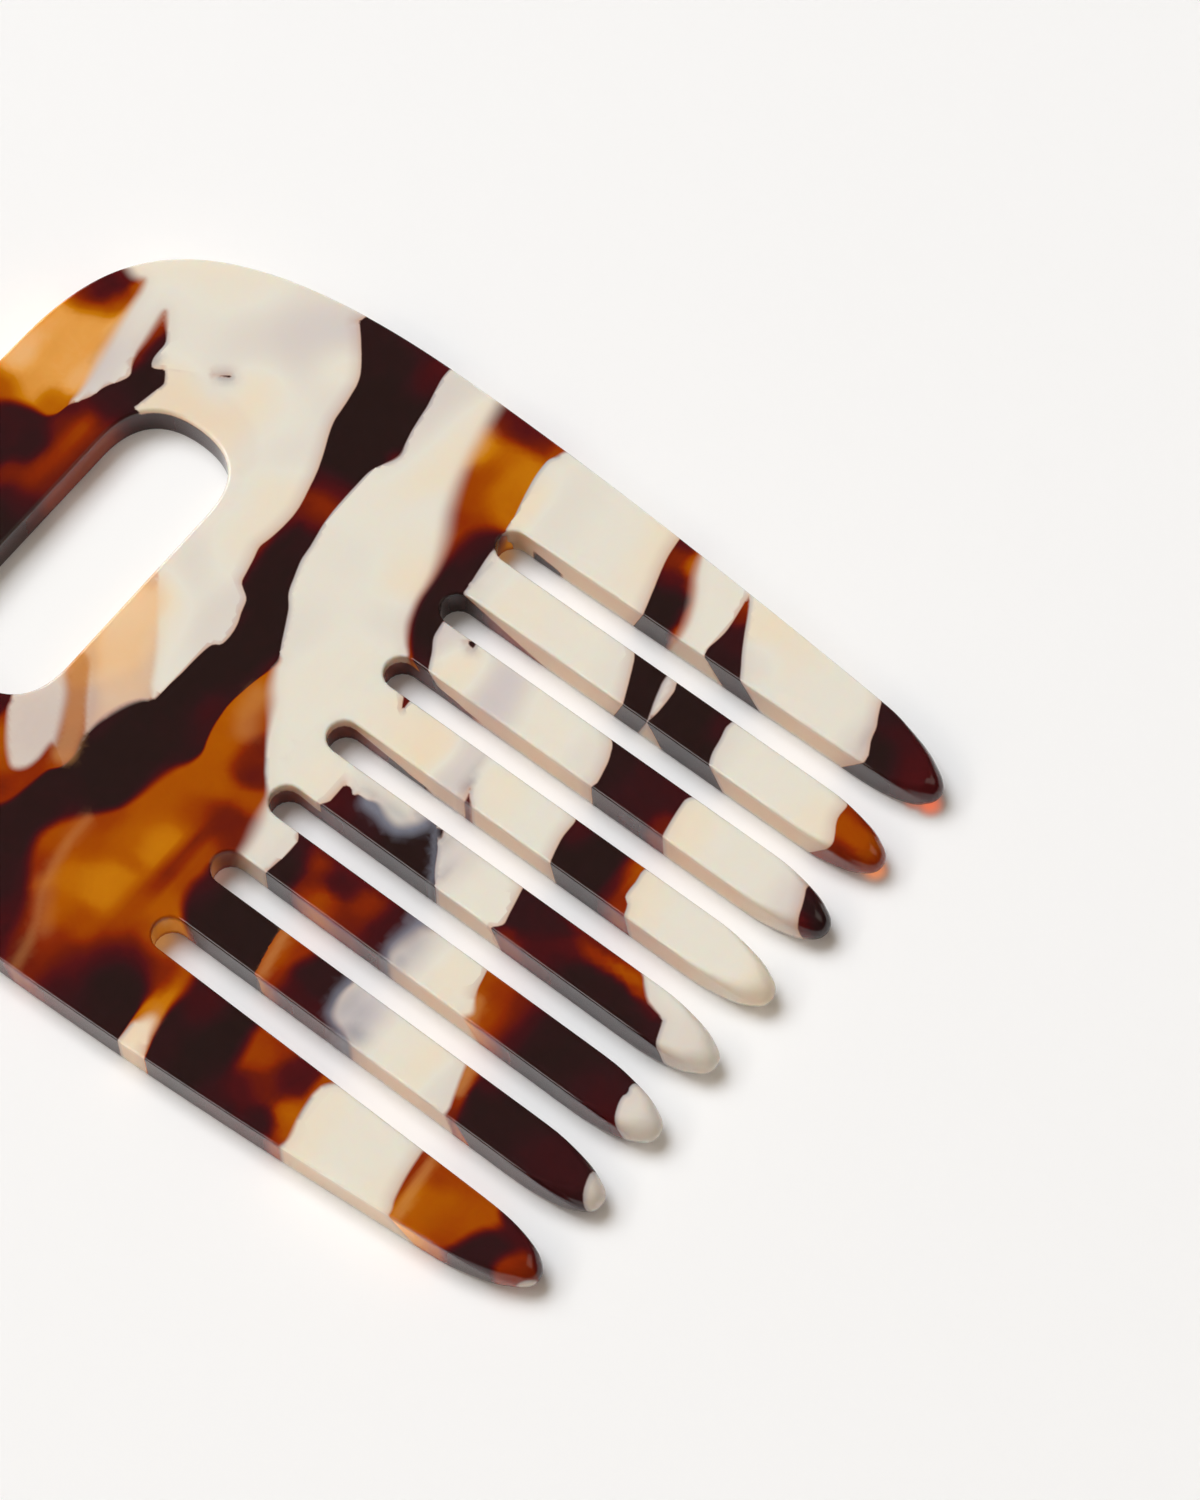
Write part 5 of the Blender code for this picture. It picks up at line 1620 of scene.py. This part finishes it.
        # Where a dark patch fades into the ivory, the ivory blushes
        outside = add(MATHS, operation="SUBTRACT", i0=1.0, i1=covered)
        unveiled = add(MATHS, operation="SUBTRACT", i0=1.0, i1=films[1])
        halfway = covered
        for factor in (outside, 2.4, darkened, unveiled):
            halfway = add(MATHS, operation="MULTIPLY", i0=halfway, i1=factor)
        tint = add(MIX, data_type="RGBA", i0=halfway, i6=linear("#FFFFFF"), i7=linear(self.blush))
        colour = add(MIX, data_type="RGBA", blend_type="MULTIPLY", i0=1.0, i6=colour, i7=tint)

        # Amber walls get a painted glow, an emission that stands in for the light that has come through the
        # sheet
        clear = add(REMAP, Value=tone, From_Min=0.40, From_Max=0.08)
        for factor in (covered, on_wall, self.glow):
            clear = add(MATHS, operation="MULTIPLY", i0=clear, i1=factor)

        # Polish: glossy, with the faint haze and the faint waves that handling leaves
        haze = add(NOISE, Vector=place, Scale=0.3 / MM, Detail=5.0)
        polish = add(REMAP, Value=haze, To_Min=self.haze[0], To_Max=self.haze[1])
        wave = add(NOISE, Vector=place, Scale=0.12 / MM, Detail=1.0)
        bump = add("ShaderNodeBump", Strength=0.06, Distance=0.1 * MM, Height=wave)
        tree.links.new(colour.outputs[2], shader.inputs["Base Color"])
        tree.links.new(shell.outputs[2], shader.inputs["Emission Color"])
        tree.links.new(clear.outputs[0], shader.inputs["Emission Strength"])
        tree.links.new(polish.outputs[0], shader.inputs["Roughness"])
        tree.links.new(bump.outputs[0], shader.inputs["Normal"])
        shader.inputs["IOR"].default_value = 1.48
        shader.inputs["Subsurface Weight"].default_value = 0.6
        shader.inputs["Subsurface Radius"].default_value = (1.0, 0.62, 0.42)
        shader.inputs["Subsurface Scale"].default_value = 1.8 * MM
        material.diffuse_color = linear("#E5DECB")
        return material

    def set_stops(self, ramp: bpy.types.ColorRamp, stops: tuple) -> None:
        """Give a colour ramp its stops.

        Args:
            ramp: The ramp.
            stops: Places and hex colours.
        """
        while len(ramp.elements) < len(stops):
            ramp.elements.new(0.5)
        for element, (place, colour) in zip(ramp.elements, stops):
            element.position = place
            element.color = linear(colour)

    def part(self, tree: Tree, name: str) -> list:
        """Return the three values that the mesh keeps under a name."""
        given = add_node(tree, "ShaderNodeAttribute", attribute_name=name).outputs["Vector"]
        return list(add_node(tree, "ShaderNodeSeparateXYZ", Vector=given).outputs)

    def border(self, tree: Tree, edge: list, ragged: Node) -> Node:
        """Turn a place's distance inside an edge into how much shows.

        Args:
            tree: The material's tree.
            edge: The distance, and half the width over which the edge fades.
            ragged: A small distance that roughens the edge.

        Returns:
            From 0 outside to 1 inside.
        """
        moved = add_node(tree, MATHS, operation="ADD", i0=edge[0], i1=ragged)
        lowest = add_node(tree, MATHS, operation="MULTIPLY", i0=edge[1], i1=-1.0)
        limits = {"From_Min": lowest, "From_Max": edge[1]}
        return add_node(tree, REMAP, interpolation_type="SMOOTHSTEP", Value=moved, **limits)

    def wall_share(self, tree: Tree, place: Socket) -> Node:
        """Tell how much of a wall a place is, because walls get a painted glow for light that comes through
        the sheet.

        Args:
            tree: The material's tree.
            place: The place on the comb.

        Returns:
            From 0 on the flats to 1 in the middle of a wall, and little near the tips.
        """
        where = add_node(tree, "ShaderNodeSeparateXYZ", Vector=place).outputs
        height = add_node(tree, MATHS, operation="SUBTRACT", i0=where["Z"], i1=2.45 * MM)
        height = add_node(tree, MATHS, operation="ABSOLUTE", i0=height)
        on_wall = add_node(tree, REMAP, Value=height, From_Min=2.35 * MM, From_Max=1.4 * MM)
        limits = {"From_Min": 57.0 * MM, "From_Max": 49.0 * MM, "To_Min": 0.1}
        before_tips = add_node(tree, REMAP, Value=where["Y"], **limits)
        return add_node(tree, MATHS, operation="MULTIPLY", i0=on_wall, i1=before_tips)


@dataclass
class Comb:
    """The comb: its sheet and its tips, welded into one piece and dressed.

    Args:
        sizes: The comb's sizes.
        weld: The distance below which the tips' points and the sheet's are one.
        same_place: The distance below which a point takes the sheet's normal.
    """

    sizes: CombSizes = field(default_factory=CombSizes)
    weld: float = 3e-6
    same_place: float = 5e-6

    def build(self, finish: bpy.types.Material) -> bpy.types.Object:
        """Make the comb.

        Args:
            finish: The material that it is made of.

        Returns:
            The finished piece.
        """
        pattern = TortoiseSheet(self.sizes)
        sheet = CombSheet(self.sizes)
        plan = EdgePlan(self.sizes, sheet.step)
        solid = sheet.build(plan, pattern)
        tips = ToothTips(self.sizes, sheet)
        row = tips.inner_row(finish)
        solid.from_mesh(row)
        bpy.data.meshes.remove(row)
        for mirrored in (False, True):
            tip = tips.outer_tip(mirrored)
            mesh = bpy.data.meshes.new("outer_tip")
            tip.to_mesh(mesh)
            tip.free()
            solid.from_mesh(mesh)
            bpy.data.meshes.remove(mesh)
        bmesh.ops.remove_doubles(solid, verts=solid.verts, dist=self.weld)
        bmesh.ops.recalc_face_normals(solid, faces=solid.faces)
        open_edges = sum(1 for edge in solid.edges if len(edge.link_faces) != 2)
        log.info("comb: %d open edges", open_edges)
        mesh = bpy.data.meshes.new("comb")
        solid.to_mesh(mesh)
        solid.free()
        mesh.materials.clear()
        mesh.materials.append(finish)
        mesh.shade_smooth()
        self.set_normals(mesh, sheet)
        pattern.paint(mesh)
        piece = bpy.data.objects.new("comb", mesh)
        bpy.context.scene.collection.objects.link(piece)
        return piece

    def set_normals(self, mesh: bpy.types.Mesh, sheet: CombSheet) -> None:
        """Give the flats and the walls their true normals.

        Args:
            mesh: The comb's mesh.
            sheet: The sheet, which knows its own normals.
        """
        tree = KDTree(len(sheet.made))
        for index, (place, _) in enumerate(sheet.made):
            tree.insert(place, index)
        tree.balance()
        normals = []
        for vertex in mesh.vertices:
            _, index, gap = tree.find(vertex.co)
            normals.append(sheet.made[index][1] if gap < self.same_place else (0.0, 0.0, 0.0))
        mesh.normals_split_custom_set_from_vertices(normals)


@dataclass(frozen=True)
class Lamp:
    """A soft box that faces the comb.

    Args:
        name: Its name.
        place: Where it stands, in metres.
        sides: Its width and height.
        power: Its power in watts.
        colour: Its colour.
        mirrored: Whether the polish mirrors it.
        lights: Whether it lights what isn't glossy.
    """

    name: str
    place: tuple
    sides: tuple
    power: float
    colour: str
    mirrored: bool = True
    lights: bool = True

    def stand(self) -> bpy.types.Object:
        """Put the lamp in its place."""
        light = bpy.data.lights.new(self.name, "AREA")
        light.shape = "RECTANGLE"
        light.size, light.size_y = self.sides
        light.energy = self.power
        light.color = linear(self.colour)[:3]
        lamp = bpy.data.objects.new(self.name, light)
        lamp.location = self.place
        lamp.rotation_euler = (-Vector(self.place)).to_track_quat("-Z", "Y").to_euler()
        lamp.visible_glossy = self.mirrored
        lamp.visible_diffuse = self.lights
        bpy.context.scene.collection.objects.link(lamp)
        return lamp


LAMPS = (
    Lamp("main_softbox", (-0.286, -2.330, 4.414), (2.68, 2.68), 193.0, "#F4F9FF", mirrored=False),
    Lamp("overhead_fill", (0.20, 0.13, 2.20), (2.20, 2.20), 4.2, "#FFE0BE", mirrored=False),
    Lamp("side_fill", (1.838, -0.324, 1.166), (1.40, 1.40), 6.0, "#FFE0BE", mirrored=False),
    Lamp("edge_strip", (1.206, -2.984, 3.000), (4.60, 0.50), 54.0, "#FFFDFA"),
    Lamp("tip_softbox", (-0.852, 1.218, 1.338), (1.00, 1.00), 2.8, "#FFF3E6"),
    Lamp("rim_card", (0.733, -1.571, 1.355), (5.00, 0.70), 110.0, "#FFFDFA", lights=False),
)


@dataclass
class Studio:
    """The pale table, the soft light from behind the comb's back, and the camera.

    Args:
        table_colour: The table's colour.
        table_size: Its side.
        table_gap: How far it is below the comb, so that no two faces share a plane.
        shadow_lift: How much the table's shadows are brightened.
        glows: Where light comes through the acetate onto the table, and where the walls' light is
            evened out in the hand hole: x, y, radius, strength, colour.
        sky: The colour and the strength of the light from all round.
        camera_place: Where the camera stands.
        camera_target: What it looks at.
        sensor: The width of its sensor in millimetres.
        lens: Its focal length in millimetres.
    """

    table_colour: str = "#FDFDFC"
    table_size: float = 6.0
    table_gap: float = 0.02 * MM
    shadow_lift: float = 0.06
    glows: tuple = (
        (-35.0 * MM, 57.3 * MM, 1.5 * MM, 0.45, "#EB7855"),
        (-36.0 * MM, 59.0 * MM, 2.3 * MM, 0.95, "#EB7855"),
        (-24.9 * MM, 56.8 * MM, 1.4 * MM, 0.45, "#F0925C"),
        (-25.7 * MM, 58.9 * MM, 2.2 * MM, 0.90, "#F0925C"),
        (30.75 * MM, 0.2 * MM, 3.8 * MM, 0.75, "#C0823E"),
        (-30.75 * MM, 0.2 * MM, 3.8 * MM, 0.75, "#A8743C"),
        (20.5 * MM, 0.2 * MM, 3.4 * MM, 0.50, "#B08272"),
        *((x * MM, -34.0 * MM, 12.0 * MM, 0.60, "#F8F7F5") for x in (-15.0, -5.0, 5.0, 15.0)),
    )
    sky: tuple = ("#FFEEDD", 0.05)
    camera_place: tuple = (178.8 * MM, 179.4 * MM, 531.8 * MM)
    camera_target: tuple = (-16.5 * MM, 26.7 * MM, 4.9 * MM)
    sensor: float = 36.0
    lens: float = 123.6096

    def table(self) -> bpy.types.Object:
        """Make the table."""
        mesh = bpy.data.meshes.new("table_top")
        half = self.table_size / 2
        low = -self.table_gap
        corners = [(-half, -half, low), (half, -half, low), (half, half, low), (-half, half, low)]
        mesh.from_pydata(corners, [], [(0, 1, 2, 3)])
        material = bpy.data.materials.new("pale_table")
        material.use_nodes = True
        tree = material.node_tree
        tree.nodes.remove(tree.nodes["Principled BSDF"])
        add = partial(add_node, tree)
        paper = add("ShaderNodeBsdfDiffuse", Color=linear(self.table_colour))
        rays = add("ShaderNodeLightPath").outputs
        seen = rays["Is Camera Ray"]
        for name in ("Is Glossy Ray", "Is Transmission Ray"):
            seen = add(MATHS, operation="MAXIMUM", i0=seen, i1=rays[name])
        share = add(MATHS, operation="MULTIPLY", i0=seen, i1=self.shadow_lift)
        surface = self.shine(tree, share, paper, self.table_colour)
        place = add("ShaderNodeTexCoord").outputs["Object"]
        for x, y, radius, strength, colour in self.glows:
            gap = add("ShaderNodeVectorMath", operation="DISTANCE", i0=place, i1=(x, y, 0)).outputs["Value"]
            limits = {"From_Min": radius, "From_Max": 0.0, "To_Max": strength}
            share = add(REMAP, interpolation_type="SMOOTHERSTEP", Value=gap, **limits)
            surface = self.shine(tree, share, surface, colour)
        tree.links.new(surface.outputs[0], tree.nodes["Material Output"].inputs["Surface"])
        mesh.materials.append(material)
        table = bpy.data.objects.new("table_top", mesh)
        bpy.context.scene.collection.objects.link(table)
        return table

    def shine(self, tree: Tree, share: Node, surface: Node, colour: str) -> Node:
        """Lay an even glow over this share of a surface and return the result."""
        glow = add_node(tree, "ShaderNodeEmission", Color=linear(colour), Strength=1.0)
        return add_node(tree, "ShaderNodeMixShader", i0=share, i1=surface, i2=glow)

    def light(self) -> None:
        """Set the world and the lamps."""
        world = bpy.data.worlds.new("studio")
        world.use_nodes = True
        background = world.node_tree.nodes["Background"]
        colour, strength = self.sky
        background.inputs["Color"].default_value = linear(colour)
        background.inputs["Strength"].default_value = strength
        bpy.context.scene.world = world
        for lamp in LAMPS:
            lamp.stand()

    def camera(self) -> bpy.types.Object:
        """Set the camera at the photograph's viewing angle."""
        data = bpy.data.cameras.new("camera")
        data.sensor_width = self.sensor
        data.lens = self.lens
        camera = bpy.data.objects.new("camera", data)
        camera.location = self.camera_place
        target = Vector(self.camera_target)
        camera.rotation_euler = (target - camera.location).to_track_quat("-Z", "Y").to_euler()
        bpy.context.scene.collection.objects.link(camera)
        bpy.context.scene.camera = camera
        return camera


def main() -> None:
    """Build the comb and its surroundings."""
    logging.basicConfig(level=logging.INFO, format="%(name)s: %(message)s")
    scene = bpy.context.scene
    scene.view_settings.view_transform = "Standard"
    studio = Studio()
    studio.table()
    studio.light()
    studio.camera()
    finish = PolishedAcetate().make()
    comb = Comb().build(finish)
    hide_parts("comb_body")
    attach(comb, "root")
    log.info("comb: %d triangles", sum(len(face.vertices) - 2 for face in comb.data.polygons))
    bpy.context.view_layer.update()


if __name__ == "__main__":
    main()
